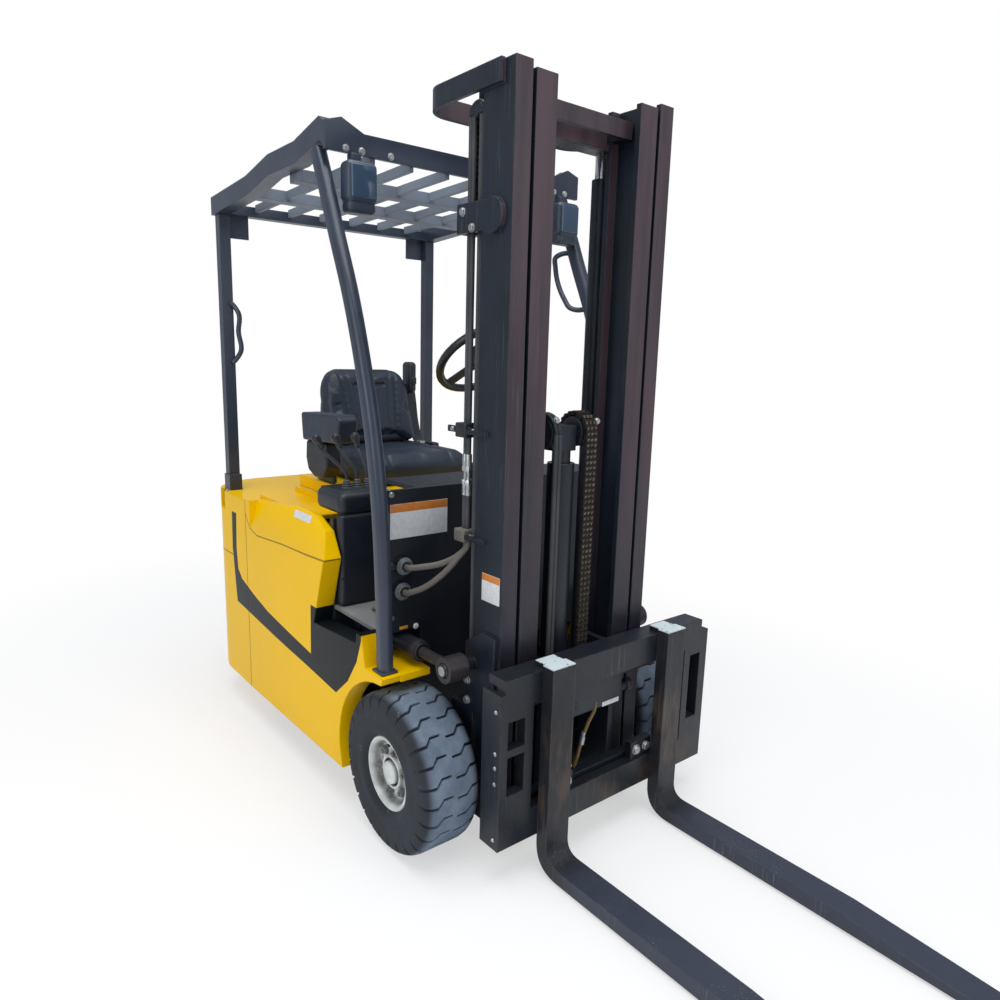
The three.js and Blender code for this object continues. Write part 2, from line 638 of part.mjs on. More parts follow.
const footTieEnd = (sign) => block(footBeamX[1] - 10, mastRearX + 8, ...span(sign, 252, mastHalfWidth),
  mastFootZ, footTieTopZ);

// Chains and hoses run up behind each upright, over sheaves on the middle upright.
const chainY = 246;
const chainHalf = 9;
const sheaveRadius = 22;
const chainThick = 14;
const chainReach = sheaveRadius + chainThick / 2 + touchGap;
const sheaveX = mastRearX - chainReach - chainThick / 2 - 3.7;
const sheaveZ = 1972;
const hoseY = 266;
const hoseRadius = 6.9;
const hoseReach = [28.5, 15];       // from the sheave's middle to each of the two hoses
const chainAnchorZ = [1690, 1716];
const chainRearX = sheaveX - chainReach - chainThick / 2;
const chainAnchor = (sign) => join(
  block(chainRearX - 11.7, mastRearX + 68, ...span(sign, mastHalfWidth - 2, mastHalfWidth + 12), 1690, 1762),
  block(chainRearX - 11.7, chainRearX - 1.7, ...span(sign, 232, mastHalfWidth + 12), 1690, 1762),
  block(chainRearX - 11.7, chainRearX + 22.3, ...span(sign, chainY - 14, chainY + 11), chainAnchorZ[0],
    chainAnchorZ[1] - touchGap),
  bar([mastRearX + 52, sign * (mastHalfWidth - 1), 1722], [mastRearX + 52, sign * (mastHalfWidth + 12), 1722],
    44, 20),
);

// Two clamps hold the hoses to the right upright.
const upperClampZ = [1173, 1206];
const lowerClampZ = [886, 914];
const clampX = [sheaveX - hoseReach[0] - 11.5, sheaveX - hoseReach[1] + 13];
const clampY = [-mastHalfWidth - 8, -254];
const hoseHole = (z) => hoseReach.map((reach) => bar([sheaveX - reach, -hoseY, z[0] - 1],
  [sheaveX - reach, -hoseY, z[1] + 1], hoseRadius + touchGap, 16));
const hoseClamp = (z) => join(
  cut(block(...clampX, ...clampY, ...z), ...hoseHole(z)),
  block(clampX[0], mastRearX + 46, -mastHalfWidth - 8, -mastHalfWidth + 1, z[0] + 8, z[0] + 20),
);
const footBeam = block(...footBeamX, -mastHalfWidth, mastHalfWidth, mastFootZ, footTieTopZ);
place('mast_outer', join(
  outerUpright(-1), outerUpright(1), bow, footBeam, footTieEnd(-1), footTieEnd(1),
  cylinderShelf(-1), cylinderShelf(1), chainAnchor(-1), chainAnchor(1),
  hoseClamp(upperClampZ), hoseClamp(lowerClampZ),
), blackPaint);

// The middle upright's profile sits inside both its neighbours' channels.
const middleRearX = throatRearX + slideGap;
const middleFrontX = throatFrontX - slideGap;
const innerWebY = [178, 190];
const middleFlange = [innerWebY[1] + slideGap, mastHalfWidth - outerWeb - slideGap];
const tabY = [222, 236];
const plateX = [mastRearX - 19, mastRearX - 5];
const middleFootZ = mastFootZ + 5;
const middleTieZ = [1960, 2004];
const sheavePinRadius = 7.5;
const sheavePinEnd = hoseY + 9;

const middleUpright = (sign) => join(
  upright(sign, [225, 237], middleFlange, middleFlange, middleRearX, middleFrontX, middleFootZ, middleTopZ),
  block(sheaveX - 40, middleRearX + 1, ...span(sign, tabY[0], tabY[1]), 1930, middleTopZ),
  block(plateX[0], middleRearX + 1, ...span(sign, tabY[0], tabY[1]), middleFootZ + 75, 260),
  bar([sheaveX, sign * tabY[0], sheaveZ], [sheaveX, sign * sheavePinEnd, sheaveZ], sheavePinRadius, 16),
  bar([sheaveX, sign * (chainY - chainHalf), sheaveZ], [sheaveX, sign * (chainY + chainHalf), sheaveZ],
    sheaveRadius, 28),
);
place('mast_middle', join(
  middleUpright(-1), middleUpright(1),
  ...hoseReach.map((reach) => loopOver(sheaveX, -hoseY, sheaveZ, reach, hoseRadius)),
  cut(bar([sheaveX, -sheavePinEnd, sheaveZ], [sheaveX, -hoseY - hoseRadius + 1, sheaveZ], hoseReach[0], 24),
    block(0, 200, -300, -200, sheaveZ - 60, sheaveZ + touchGap)),
  block(sheaveX - 40, sheaveX + 16, -tabY[1], tabY[1], ...middleTieZ),
  block(plateX[0], plateX[1], -tabY[1], tabY[1], middleFootZ + 75, 260),
), blackPaint);

// ---------------------------------------------------------------- free-lift cylinder, chain and hose places
const freeX = mastRearX + 58;
const freeY = -30;
const freeBarrelRadius = 38;
const freeBoreRadius = 27;
const freeRodRadius = 26;
const freeFootZ = 150;
const freeBarrelTopZ = 1100;
const crossheadZ = 1185;
const centreSheaveRadius = 42;
const centreReach = centreSheaveRadius + 9;
const centreChainX = freeX + centreReach;
const centreRearX = freeX - centreReach;
const centreChainY = 30;
const centreChainHalf = 22;
const centreHoseY = -92;
const centreHoseSpread = 6.8;
const centreHoseX = [freeX - centreReach + 1, freeX + centreReach - 1];

// The inner upright carries the lift carriage between its inward flanges.
const innerFootZ = mastFootZ + 7;
const innerFlange = [innerClearY, innerOuterY];
const innerTieFrontX = mastRearX + 10;
const innerTieZ = [innerFootZ + 120, 1952];
const anchorLugZ = [300, 340];
const innerUpright = (sign) => join(
  upright(sign, innerWebY, innerFlange, innerFlange, mastRearX, mastFrontX, innerFootZ, innerTopZ),
  block(plateX[0], mastRearX + 1, ...span(sign, innerClearY + 4, innerOuterY - 2), ...anchorLugZ),
  block(plateX[0], plateX[1] - 1, ...span(sign, innerOuterY - 4, chainY + 12), ...anchorLugZ),
);
const hoseLugZ = [430, 460];
const hoseLugX = sheaveX + 4;
const hoseLugY = [234, 259.5];      // the lug passes behind the chain between these
const centreAnchorZ = 260;
const centreHoseEndZ = 240;
const topPlateX = mastFrontX - 44;
place('mast_inner', join(
  innerUpright(-1), innerUpright(1),
  block(mastRearX + 1, innerTieFrontX, -innerClearY - 2, innerClearY + 2, innerFootZ + 1, innerTieZ[0]),
  block(mastRearX + 1, innerTieFrontX, -innerClearY - 2, innerClearY + 2, innerTieZ[1], innerTopZ - 10),
  block(mastRearX + 2, centreRearX + 8, centreChainY - 22, centreChainY + 22, innerTieZ[0] - 20,
    centreAnchorZ - touchGap),
  block(mastRearX + 2, centreHoseX[0] + 8, centreHoseY - 15, centreHoseY + 15, innerTieZ[0] - 20,
    centreHoseEndZ - touchGap),
  block(plateX[0], mastRearX + 1, -innerOuterY + 2, -innerClearY - 4, ...hoseLugZ),
  block(plateX[0], plateX[1], -hoseLugY[0], -innerOuterY + 4, ...hoseLugZ),
  block(hoseLugX, plateX[1], -hoseLugY[0], -hoseLugY[0] + 11, ...hoseLugZ),
  block(hoseLugX, hoseLugX + 12, -hoseY - 9, -hoseLugY[0] + 1, ...hoseLugZ),
  block(hoseLugX, plateX[1], -hoseY - 9, -hoseLugY[1], ...hoseLugZ),
  block(topPlateX - 14, topPlateX, -innerClearY + 3, innerClearY - 3, 1970, 2015),
  block(mastRearX + 3, topPlateX - 1, -innerClearY - 20, -innerClearY + 12, 1971, 2014),
  block(mastRearX + 3, topPlateX - 1, innerClearY - 12, innerClearY + 20, 1971, 2014),
), blackPaint);

// ---------------------------------------------------------------- lift cylinders
const boreRadius = 21;
const rodRadius = 20;
const barrelTopZ = 1890;
function hollowBarrel(x, y, outer, bore, z0, z1) {
  return cut(bar([x, y, z0], [x, y, z1], outer, 24), bar([x, y, z0 + 14], [x, y, z1 + 1], bore, 24));
}
placePair('lift_barrel', hollowBarrel(cylinderX, -cylinderY, barrelRadius, boreRadius,
  shelfZ[1] + touchGap, barrelTopZ), blackPaint);
placePair('lift_rod', bar([cylinderX, -cylinderY, shelfZ[1] + 40],
  [cylinderX, -cylinderY, middleTieZ[0] - touchGap], rodRadius, 24), bareSteel);

place('free_lift_barrel', join(
  hollowBarrel(freeX, freeY, freeBarrelRadius, freeBoreRadius, freeFootZ, freeBarrelTopZ),
  block(innerTieFrontX + touchGap, freeX - 30, freeY - 45, freeY + 36, freeFootZ, freeFootZ + 60),
), blackPaint);

// The crosshead rides on the free-lift rod and turns the chains and hoses over.
place('crosshead', join(
  bar([freeX, freeY, freeFootZ + 40], [freeX, freeY, crossheadZ - 40], freeRodRadius, 24),
  block(freeX - 28, freeX + 28, freeY - 40, freeY + 28, crossheadZ - 50, crossheadZ + 20),
  bar([freeX, centreHoseY - 14, crossheadZ], [freeX, centreChainY + 40, crossheadZ], 14, 20),
  bar([freeX, centreChainY - 24, crossheadZ], [freeX, centreChainY + 24, crossheadZ], centreSheaveRadius, 28),
  bar([freeX, centreHoseY - 14, crossheadZ], [freeX, centreHoseY + 14, crossheadZ],
    centreSheaveRadius + 0.9, 40),
  ...[-1, 1].map((i) => loopOver(freeX, centreHoseY + i * centreHoseSpread, crossheadZ,
    centreReach - 1.5, hoseRadius)),
), blackPaint);

// ---------------------------------------------------------------- lift carriage
const rollerY = [innerWebY[0] - 4 - 26, innerWebY[0] - 4];
const rollerX = (throatRearX + throatFrontX) / 2;
const rollerRadius = (throatFrontX - throatRearX) / 2 - 1;
const carriageZ = [95, 560];
const cheekY = [124, 142];
const carriageBarX = [262, 292];
const upperBarZ = [470, 560];
const lowerBarZ = [130, 210];
const endThick = 14;                // wall at each end of the fork frame
const shiftReach = 44;              // travel of the fork frame to the left
const carriageHalf = -forkFrameY[0] - endThick - shiftReach - runGap;
const cheek = (sign) => join(
  block(rollerX - 34, carriageBarX[0] + 1, ...span(sign, cheekY[0], cheekY[1]), ...carriageZ),
  bar([rollerX, sign * (cheekY[0] + 2), 170], [rollerX, sign * rollerY[1], 170], rollerRadius, 28),
  bar([rollerX, sign * (cheekY[0] + 2), 480], [rollerX, sign * rollerY[1], 480], rollerRadius, 28),
);
const carriageAnchorZ = 430;
place('lift_carriage', join(
  cheek(-1), cheek(1),
  block(...carriageBarX, -carriageHalf, carriageHalf, ...upperBarZ),
  block(...carriageBarX, -carriageHalf, carriageHalf, ...lowerBarZ),
  block(freeX + freeBarrelRadius + runGap, carriageBarX[0] + 1, -cheekY[1], cheekY[1],
    carriageAnchorZ - 40, carriageAnchorZ),
  block(carriageBarX[0], carriageBarX[1], -cheekY[1], cheekY[1], carriageAnchorZ - 40, upperBarZ[0] + 1),
  bar([277, -60, 424], [277, 190, 424], 14, 16),
), blackPaint);

// ---------------------------------------------------------------- sideshift frame and forks
const shankRearX = shankFrontX - forkThickness;
const frameBarX = [carriageBarX[1] + runGap, shankRearX - touchGap];
const frameTopZ = shankTopZ - 15;
const frameLowZ = 112;
const frameEndX0 = 255;
const endPlate = 112;               // how far an end plate reaches in from the frame's end
const endTopZ = 548;
const retainerZ = [196, 250];
const endStrip = (y0, y1, windows) => cut(block(...frameBarX, y0, y1, frameLowZ, endTopZ),
  ...windows.map(([a, b, z0, z1]) => block(frameBarX[0] - 1, frameBarX[1] + 1, a, b, z0, z1)));
const retainer = (y) => block(frameBarX[0], frameBarX[1] - 9, y - 44, y + 44, ...retainerZ);
const [frameRight, frameLeft] = forkFrameY;
place('sideshift_frame', join(
  block(...frameBarX, frameRight + endThick, frameLeft - 34, 500, frameTopZ),
  block(...frameBarX, frameRight + 1, frameLeft - 1, frameLowZ, retainerZ[0] + 1),
  endStrip(frameRight, frameRight + endPlate, [
    [frameRight + 26, frameRight + 84, 262, 372], [frameRight + 26, frameRight + 84, 392, 470]]),
  endStrip(frameLeft - endPlate, frameLeft, [[frameLeft - 84, frameLeft - 34, 262, 476]]),
  block(frameEndX0, frameBarX[1], frameRight, frameRight + endThick, frameLowZ, endTopZ),
  block(frameEndX0, frameBarX[1], frameLeft - endThick, frameLeft, frameLowZ, endTopZ),
  retainer(-120), retainer(213),
  block(carriageBarX[0], frameBarX[1], frameRight + endThick, frameLeft - 34,
    upperBarZ[1] + touchGap, frameTopZ),
), blackPaint);

const heelRadius = 45;
function forkSolid(sign) {
  const y = sideshiftRest + sign * forkSpread;
  const low = bladeTopZ - forkThickness;
  const outline = new THREE.Shape();
  outline.moveTo(shankRearX, shankTopZ);
  outline.lineTo(shankRearX, low + heelRadius + forkThickness);
  outline.quadraticCurveTo(shankRearX, low, shankRearX + heelRadius + forkThickness, low);
  outline.lineTo(tipX - 30, low);
  outline.lineTo(tipX, low + 3);
  outline.lineTo(tipX, low + 13);
  outline.lineTo(tipX - 420, bladeTopZ);
  outline.lineTo(shankFrontX + heelRadius, bladeTopZ);
  outline.quadraticCurveTo(shankFrontX, bladeTopZ, shankFrontX, bladeTopZ + heelRadius);
  outline.lineTo(shankFrontX, shankTopZ);
  return join(
    sidePlate(outline, y - forkWidth / 2, y + forkWidth / 2),
    block(carriageBarX[1], shankRearX + 1, y - forkWidth / 2 + 8, y + forkWidth / 2 - 8,
      frameTopZ + touchGap, shankTopZ),
  );
}
place('fork_right', forkSolid(-1), bareSteel);
place('fork_left', forkSolid(1), bareSteel);

// ---------------------------------------------------------------- tilt cylinders
const tiltBarrelHeadX = -20;
const tiltRodRadius = 16;
const tiltLength = tiltEyeX - tiltBaseX;
const tiltAt = (x) => tiltBaseZ + (x - tiltBaseX) * (tiltEyeZ - tiltBaseZ) / tiltLength;
const eyeY = [tiltY - tiltHalf, tiltY + tiltHalf];
function tiltBarrel(sign) {
  const y = sign * tiltY;
  return cut(
    join(
      bar([tiltBaseX, sign * eyeY[0], tiltBaseZ], [tiltBaseX, sign * eyeY[1], tiltBaseZ], 30, 24),
      bar([tiltBaseX + 10, y, tiltAt(tiltBaseX + 10)], [tiltBarrelHeadX, y, tiltAt(tiltBarrelHeadX)], 30, 24),
    ),
    bar([tiltBaseX, sign * 300, tiltBaseZ], [tiltBaseX, sign * 420, tiltBaseZ], tiltPinRadius + 1, 20),
    bar([tiltBaseX + 60, y, tiltAt(tiltBaseX + 60)], [tiltBarrelHeadX + 5, y, tiltAt(tiltBarrelHeadX + 5)],
      tiltRodRadius + 1, 24),
  );
}
function tiltRod(sign) {
  const y = sign * tiltY;
  const eyeInner = mastHalfWidth + 12 + runGap;
  return cut(
    join(
      bar([tiltBaseX + 110, y, tiltAt(tiltBaseX + 110)], [tiltEyeX - 24, y, tiltAt(tiltEyeX - 24)],
        tiltRodRadius, 24),
      bar([tiltEyeX, sign * Math.max(eyeY[0], eyeInner), tiltEyeZ], [tiltEyeX, sign * eyeY[1], tiltEyeZ],
        36, 28),
    ),
    bar([tiltEyeX, sign * 290, tiltEyeZ], [tiltEyeX, sign * 420, tiltEyeZ], tiltPinRadius + 3, 20),
  );
}
placePair('tilt_barrel', tiltBarrel(-1), blackPaint);
placePair('tilt_rod', tiltRod(-1), bareSteel);

// ---------------------------------------------------------------- chains and hoses
const chainFall = (x, y, z0, z1, half) => block(x - chainThick / 2, x + chainThick / 2, y - half, y + half,
  z0, z1);
const loopGap = 1.5;                // a fall stops this far short of its loop
const sheaveEndZ = sheaveZ - loopGap;
const crossheadEndZ = crossheadZ - loopGap;
placePair('side_chain_rear', chainFall(sheaveX - chainReach, -chainY, chainAnchorZ[1], sheaveZ, chainHalf),
  chainSteel);
placePair('side_chain_front', chainFall(sheaveX + chainReach, -chainY, anchorLugZ[1] + touchGap, sheaveZ,
  chainHalf), chainSteel);
place('centre_chain_front', chainFall(centreChainX + 1, centreChainY, carriageAnchorZ + touchGap, crossheadZ,
  centreChainHalf), chainSteel);
place('centre_chain_rear', chainFall(centreRearX - 1, centreChainY, centreAnchorZ, crossheadZ,
  centreChainHalf), chainSteel);

// Two hoses side by side, bonded along their length.
const hosePair = (ends, z0, z1) => join(
  ...ends.map(([x, y]) => bar([x, y, z0], [x, y, z1], hoseRadius, 12)),
  beam([ends[0][0], ends[0][1], (z0 + z1) / 2], [ends[1][0], ends[1][1], (z0 + z1) / 2], 4, z1 - z0),
);
const rearFall = hoseReach.map((reach) => [sheaveX - reach, -hoseY]);
const frontFall = hoseReach.map((reach) => [sheaveX + reach, -hoseY]);
const fittingTopZ = 1165;
const fittingLowZ = 995;
place('side_hose_rear', hosePair(rearFall, upperClampZ[0], sheaveEndZ), blackPlastic);
place('side_hose_front', hosePair(frontFall, hoseLugZ[1] + touchGap, sheaveEndZ), blackPlastic);
place('hose_fittings', join(
  hosePair(rearFall, lowerClampZ[0] + 2, upperClampZ[0] - touchGap),
  ...rearFall.map(([x, y], i) => bar([x, y, fittingLowZ + 20 * i], [x, y, fittingTopZ - 22 * i], 9.5, 8)),
), bareSteel);
const centreFall = (x) => [-1, 1].map((i) => [x, centreHoseY + i * centreHoseSpread]);
place('centre_hose_rear', hosePair(centreFall(centreHoseX[0]), centreHoseEndZ, crossheadEndZ), blackPlastic);
place('centre_hose_front', hosePair(centreFall(centreHoseX[1]), carriageAnchorZ + touchGap, crossheadEndZ),
  blackPlastic);

// The supply hoses leave the lower clamp and curve back to the cowl.
const supplyRadius = 9;
const supplyEndX = grommetEndX + 0.8;
const supplyTopZ = lowerClampZ[0] - 0.8;
const supplyRoutes = [
  [[sheaveX - 12, -hoseY, supplyTopZ], [sheaveX - 12, -hoseY, 872], [46, -280, 845], [8, -306, 815],
    [-40, -345, 797], [-68, -378, 793], [supplyEndX, -378, 793]],
  [[sheaveX - 18, -hoseY, supplyTopZ], [sheaveX - 18, -hoseY, 870], [42, -286, 832], [6, -318, 776],
    [-42, -358, 731], [-68, -384, 720], [supplyEndX, -384, 720]],
];
place('supply_hoses', join(...supplyRoutes.map((route) => tube(route, supplyRadius, 22, 8))), blackPlastic);

export default forklift;
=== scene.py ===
import math
import bmesh
import bpy
import numpy as np
from mathutils import Matrix, Vector


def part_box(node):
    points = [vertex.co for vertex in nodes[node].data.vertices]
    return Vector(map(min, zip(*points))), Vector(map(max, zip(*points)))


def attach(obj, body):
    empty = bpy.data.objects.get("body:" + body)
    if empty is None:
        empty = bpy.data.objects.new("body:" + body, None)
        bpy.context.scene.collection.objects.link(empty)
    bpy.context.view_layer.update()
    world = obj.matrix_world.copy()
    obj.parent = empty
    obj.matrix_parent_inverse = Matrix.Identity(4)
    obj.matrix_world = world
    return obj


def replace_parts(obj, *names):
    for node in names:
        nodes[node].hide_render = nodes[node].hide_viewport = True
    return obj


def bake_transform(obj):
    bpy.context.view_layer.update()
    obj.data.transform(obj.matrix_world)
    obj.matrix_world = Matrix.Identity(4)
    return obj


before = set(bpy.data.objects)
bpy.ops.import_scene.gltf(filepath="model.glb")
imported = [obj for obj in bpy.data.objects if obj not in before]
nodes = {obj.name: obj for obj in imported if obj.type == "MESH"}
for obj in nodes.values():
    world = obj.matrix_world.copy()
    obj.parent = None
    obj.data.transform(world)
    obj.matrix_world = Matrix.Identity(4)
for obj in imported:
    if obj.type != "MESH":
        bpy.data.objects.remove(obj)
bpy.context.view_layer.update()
print("frame loaded:", len(nodes), "nodes")

# Millimetres from the front axle are used for places; metres in the model's frame come out.
originX = sum(c.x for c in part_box("front_rim_right")) / 2
axleHeight = 0.228


def atAll(points):  # millimetres from the axle to metres in the model's frame
    return np.asarray(points, float) / 1000 + np.array([originX, 0.0, 0.0])


def at(x, y, z):
    # one point, millimetres from the axle to metres in the model's frame
    return atAll([[x, y, z]])[0]


def boxMm(node):  # a node's lowest and highest corners in the same millimetres
    low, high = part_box(node)
    shift = Vector((originX, 0, 0))
    return np.array(low - shift) * 1000, np.array(high - shift) * 1000


# shapes: each returns (points, faces), worked out as whole arrays

def gridFaces(rows, cols, wrapRows=False, wrapCols=False):
    # quads between neighbouring points of a rows x cols grid
    r = np.arange(rows if wrapRows else rows - 1)[:, None]
    c = np.arange(cols if wrapCols else cols - 1)[None, :]
    r2, c2 = (r + 1) % rows, (c + 1) % cols
    quads = np.stack(np.broadcast_arrays(r * cols + c, r * cols + c2, r2 * cols + c2, r2 * cols + c), -1)
    return quads.reshape(-1, 4)


def gather(*shapes):
    # several shapes as one, their face numbers moved on
    points, faces, start = [], [], 0
    for somePoints, someFaces in shapes:
        points.append(np.asarray(somePoints, float))
        faces += [[int(i) + start for i in face] for face in someFaces]
        start += len(somePoints)
    return np.concatenate(points), faces


def moved(shape, matrices):
    # the shape once for each 4x4 matrix
    points, faces = shape
    ones = np.c_[points, np.ones(len(points))]
    placed = np.einsum("nij,pj->npi", np.asarray(matrices), ones)[..., :3]
    start = np.arange(len(placed))[:, None] * len(points)
    byLength = {}
    for face in faces:
        byLength.setdefault(len(face), []).append(face)
    out = []
    for group in byLength.values():
        group = np.asarray(group)
        out += (group[None] + start[..., None]).reshape(-1, group.shape[1]).tolist()
    return placed.reshape(-1, 3), out


def frameTo(centre, direction, up=(0, 0, 1)):
    # a matrix whose z axis is direction and whose origin is centre
    z = np.asarray(direction, float)
    z = z / np.linalg.norm(z)
    up = np.asarray(up, float) if abs(z @ np.asarray(up, float)) < 0.95 else np.array([1.0, 0.0, 0.0])
    x = np.cross(up, z)
    x /= np.linalg.norm(x)
    matrix = np.eye(4)
    matrix[:3, :4] = np.stack([x, np.cross(z, x), z, np.asarray(centre, float)], 1)
    return matrix


def turned(profile, centre, direction, sides=48):
    # (radius, distance along the axis) points turned once round the axis
    profile = np.asarray(profile, float)
    angle = np.arange(sides) * 2 * math.pi / sides
    ring = np.stack([np.cos(angle), np.sin(angle)], 1)
    points = np.concatenate([
        profile[:, None, :1] * ring[None], np.broadcast_to(profile[:, None, 1:], (len(profile), sides, 1))], -1)
    return moved((points.reshape(-1, 3), gridFaces(len(profile), sides, wrapCols=True)),
                 [frameTo(centre, direction)])


def smoothLine(points, count):
    # a curve through the points: cubic pieces whose slope at a point is that of its two neighbours' chord
    points = np.asarray(points, float)
    t = np.r_[0, np.cumsum(np.linalg.norm(np.diff(points, axis=0), axis=1))]
    slope = np.gradient(points, t, axis=0)
    s = np.linspace(0, t[-1], count)
    i = np.clip(np.searchsorted(t, s, side="right") - 1, 0, len(t) - 2)
    h = (t[i + 1] - t[i])[:, None]
    u = (s - t[i])[:, None] / h
    return ((2 * u**3 - 3 * u**2 + 1) * points[i] + (u**3 - 2 * u**2 + u) * h * slope[i]
            + (3 * u**2 - 2 * u**3) * points[i + 1] + (u**3 - u**2) * h * slope[i + 1])


def sidesAlong(path):
    # side and up at each point of a path: each side is the last one without its part along the path
    path = np.asarray(path, float)
    tangent = np.gradient(path, axis=0)
    tangent /= np.linalg.norm(tangent, axis=1)[:, None]
    first = np.array([0.0, 1.0, 0.0]) if abs(tangent[0][1]) < 0.9 else np.array([0.0, 0.0, 1.0])
    side = [np.cross(tangent[0], first)]
    for along in tangent[1:]:
        across = side[-1] - along * (side[-1] @ along)
        side.append(across / np.linalg.norm(across))
    side = np.asarray(side)
    side[0] /= np.linalg.norm(side[0])
    return side, np.cross(tangent, side)


def swept(path, section):
    # a section of (across, up) points carried along the path and closed at both ends
    path = np.asarray(path, float)
    section = np.asarray(section, float)
    side, up = sidesAlong(path)
    points = path[:, None] + section[None, :, :1] * side[:, None] + section[None, :, 1:] * up[:, None]
    rows, cols = len(path), len(section)
    faces = gridFaces(rows, cols, wrapCols=True).tolist()
    faces += [list(range(cols))[::-1], list(range((rows - 1) * cols, rows * cols))]
    return points.reshape(-1, 3), faces


def tube(points, radius, steps=40, sides=16):
    # a circle carried along a smooth line
    angle = np.arange(sides) * 2 * math.pi / sides
    return swept(smoothLine(points, steps), np.stack([np.cos(angle), np.sin(angle)], 1) * radius)


def cornerSteps(low, high, radius, steps, extra=0):
    # positions along one edge, close together in the rounded ends
    arc = (1 - np.cos(np.linspace(0, math.pi / 2, steps + 1))) * radius
    middle = np.linspace(low + radius, high - radius, extra + 2)[1:-1]
    return np.r_[low + arc, middle, (high - arc)[::-1]]


def softBox(low, high, radius, steps=4, extra=0):
    # a block with rounded edges: each point of a box's skin is drawn to radius from the box's inner core
    low, high = np.asarray(low, float), np.asarray(high, float)
    radius = min(radius, (high - low).min() / 2 - 1e-3)
    spans = [cornerSteps(low[i], high[i], radius, steps, extra) for i in range(3)]
    shapes = []
    for axis in range(3):
        a, b = [i for i in range(3) if i != axis]
        u, v = np.meshgrid(spans[a], spans[b], indexing="ij")
        for end in (low[axis], high[axis]):
            points = np.empty((u.size, 3))
            points[:, a], points[:, b], points[:, axis] = u.ravel(), v.ravel(), end
            shapes.append((points, gridFaces(*u.shape)))
    points, faces = gather(*shapes)
    core = np.clip(points, low + radius, high - radius)
    out = points - core
    length = np.linalg.norm(out, axis=1)[:, None]
    return core + out / np.maximum(length, 1e-9) * radius, faces


def prism(outline, axis, start, end):
    # a flat outline drawn out along x, y or z
    outline = np.asarray(outline, float)
    others = [i for i in range(3) if i != axis]
    points = np.zeros((2, len(outline), 3))
    points[:, :, others] = outline
    points[0, :, axis], points[1, :, axis] = start, end
    n = len(outline)
    faces = gridFaces(2, n, wrapCols=True).tolist() + [list(range(n))[::-1], list(range(n, 2 * n))]
    return points.reshape(-1, 3), faces


def hexHead(centre, direction, across=19, height=9, washer=True):
    # a six-sided head: rings whose radius follows a hexagon, chamfered at the top, over a round washer
    angle = np.arange(24) * math.pi / 12
    hexagon = across / 2 / np.cos((angle + math.pi / 6) % (math.pi / 3) - math.pi / 6)
    rings = [(hexagon, 0.0)]
    if washer:
        rings = [(np.full(24, across * 0.66), 0.0), (np.full(24, across * 0.66), 1.6), (hexagon, 1.61)]
    rings += [(hexagon, height * 0.78), (np.minimum(hexagon, across * 0.47), height),
              (np.full(24, 0.001), height * 0.99)]
    points = np.concatenate([
        np.stack([r * np.cos(angle), r * np.sin(angle), np.full(24, h)], 1) for r, h in rings])
    return moved((points, gridFaces(len(rings), 24, wrapCols=True)), [frameTo(centre, direction)])


def makePiece(name, shape, material, body=None, smooth=34, bevel=None):
    # a mesh object in metres from a shape in millimetres
    points, faces = shape
    mesh = bpy.data.meshes.new(name)
    mesh.from_pydata(atAll(points).tolist(), [], [list(f) for f in faces])
    work = bmesh.new()
    work.from_mesh(mesh)
    bmesh.ops.remove_doubles(work, verts=work.verts, dist=2e-6)
    bmesh.ops.recalc_face_normals(work, faces=work.faces)
    work.to_mesh(mesh)
    work.free()
    mesh.shade_smooth()
    mesh.set_sharp_from_angle(angle=math.radians(smooth))
    mesh.materials.append(material)
    piece = bpy.data.objects.new(name, mesh)
    bpy.context.scene.collection.objects.link(piece)
    if bevel:
        edge = piece.modifiers.new("edge", "BEVEL")
        edge.width, edge.segments, edge.limit_method = bevel / 1000, 2, "ANGLE"
        edge.angle_limit, edge.harden_normals = math.radians(40), True
    if body:
        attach(piece, body)
    return piece


def vertexPlaces(mesh):  # every vertex, in metres
    out = np.empty(len(mesh.vertices) * 3, np.float32)
    mesh.vertices.foreach_get("co", out)
    return out.reshape(-1, 3).astype(float)


# material helpers

def addNode(tree, kind, inputs=None, **props):
    # a node with its settings, each input a value or a socket to link
    node = tree.nodes.new(kind)
    for key, value in props.items():
        setattr(node, key, value)
    for key, value in (inputs or {}).items():
        socket = node.inputs[key]
        if isinstance(value, bpy.types.NodeSocket):
            tree.links.new(value, socket)
        else:
            socket.default_value = value
    return node


def calc(tree, operation, a, b=0.0, c=0.0, clamp=False):
    # one sum with up to three numbers
    return addNode(tree, "ShaderNodeMath", {0: a, 1: b, 2: c}, operation=operation, use_clamp=clamp).outputs[0]


def blendColour(tree, factor, a, b):
    # a at factor 0, b at factor 1
    return addNode(tree, "ShaderNodeMix", {0: factor, 6: a, 7: b}, data_type="RGBA").outputs[2]


def objectPlace(tree):
    # the point in the piece's own metres
    return addNode(tree, "ShaderNodeTexCoord").outputs["Object"]


def parts(tree, vector):
    # the x, y and z of a vector
    return addNode(tree, "ShaderNodeSeparateXYZ", {0: vector}).outputs


def combined(tree, operation, values):
    # the values joined one after another by one operation
    result = values[0]
    for value in values[1:]:
        result = calc(tree, operation, result, value)
    return result


def product(tree, *values):
    # the values multiplied with each other
    return combined(tree, "MULTIPLY", values)


def spread(tree, value, low, high, toLow=0.0, toHigh=1.0):
    # level outside low and high, and between them 3 t squared minus 2 t cubed, t the share of the way
    return addNode(tree, "ShaderNodeMapRange", {0: value, 1: low, 2: high, 3: toLow, 4: toHigh},
                   interpolation_type="SMOOTHSTEP").outputs[0]


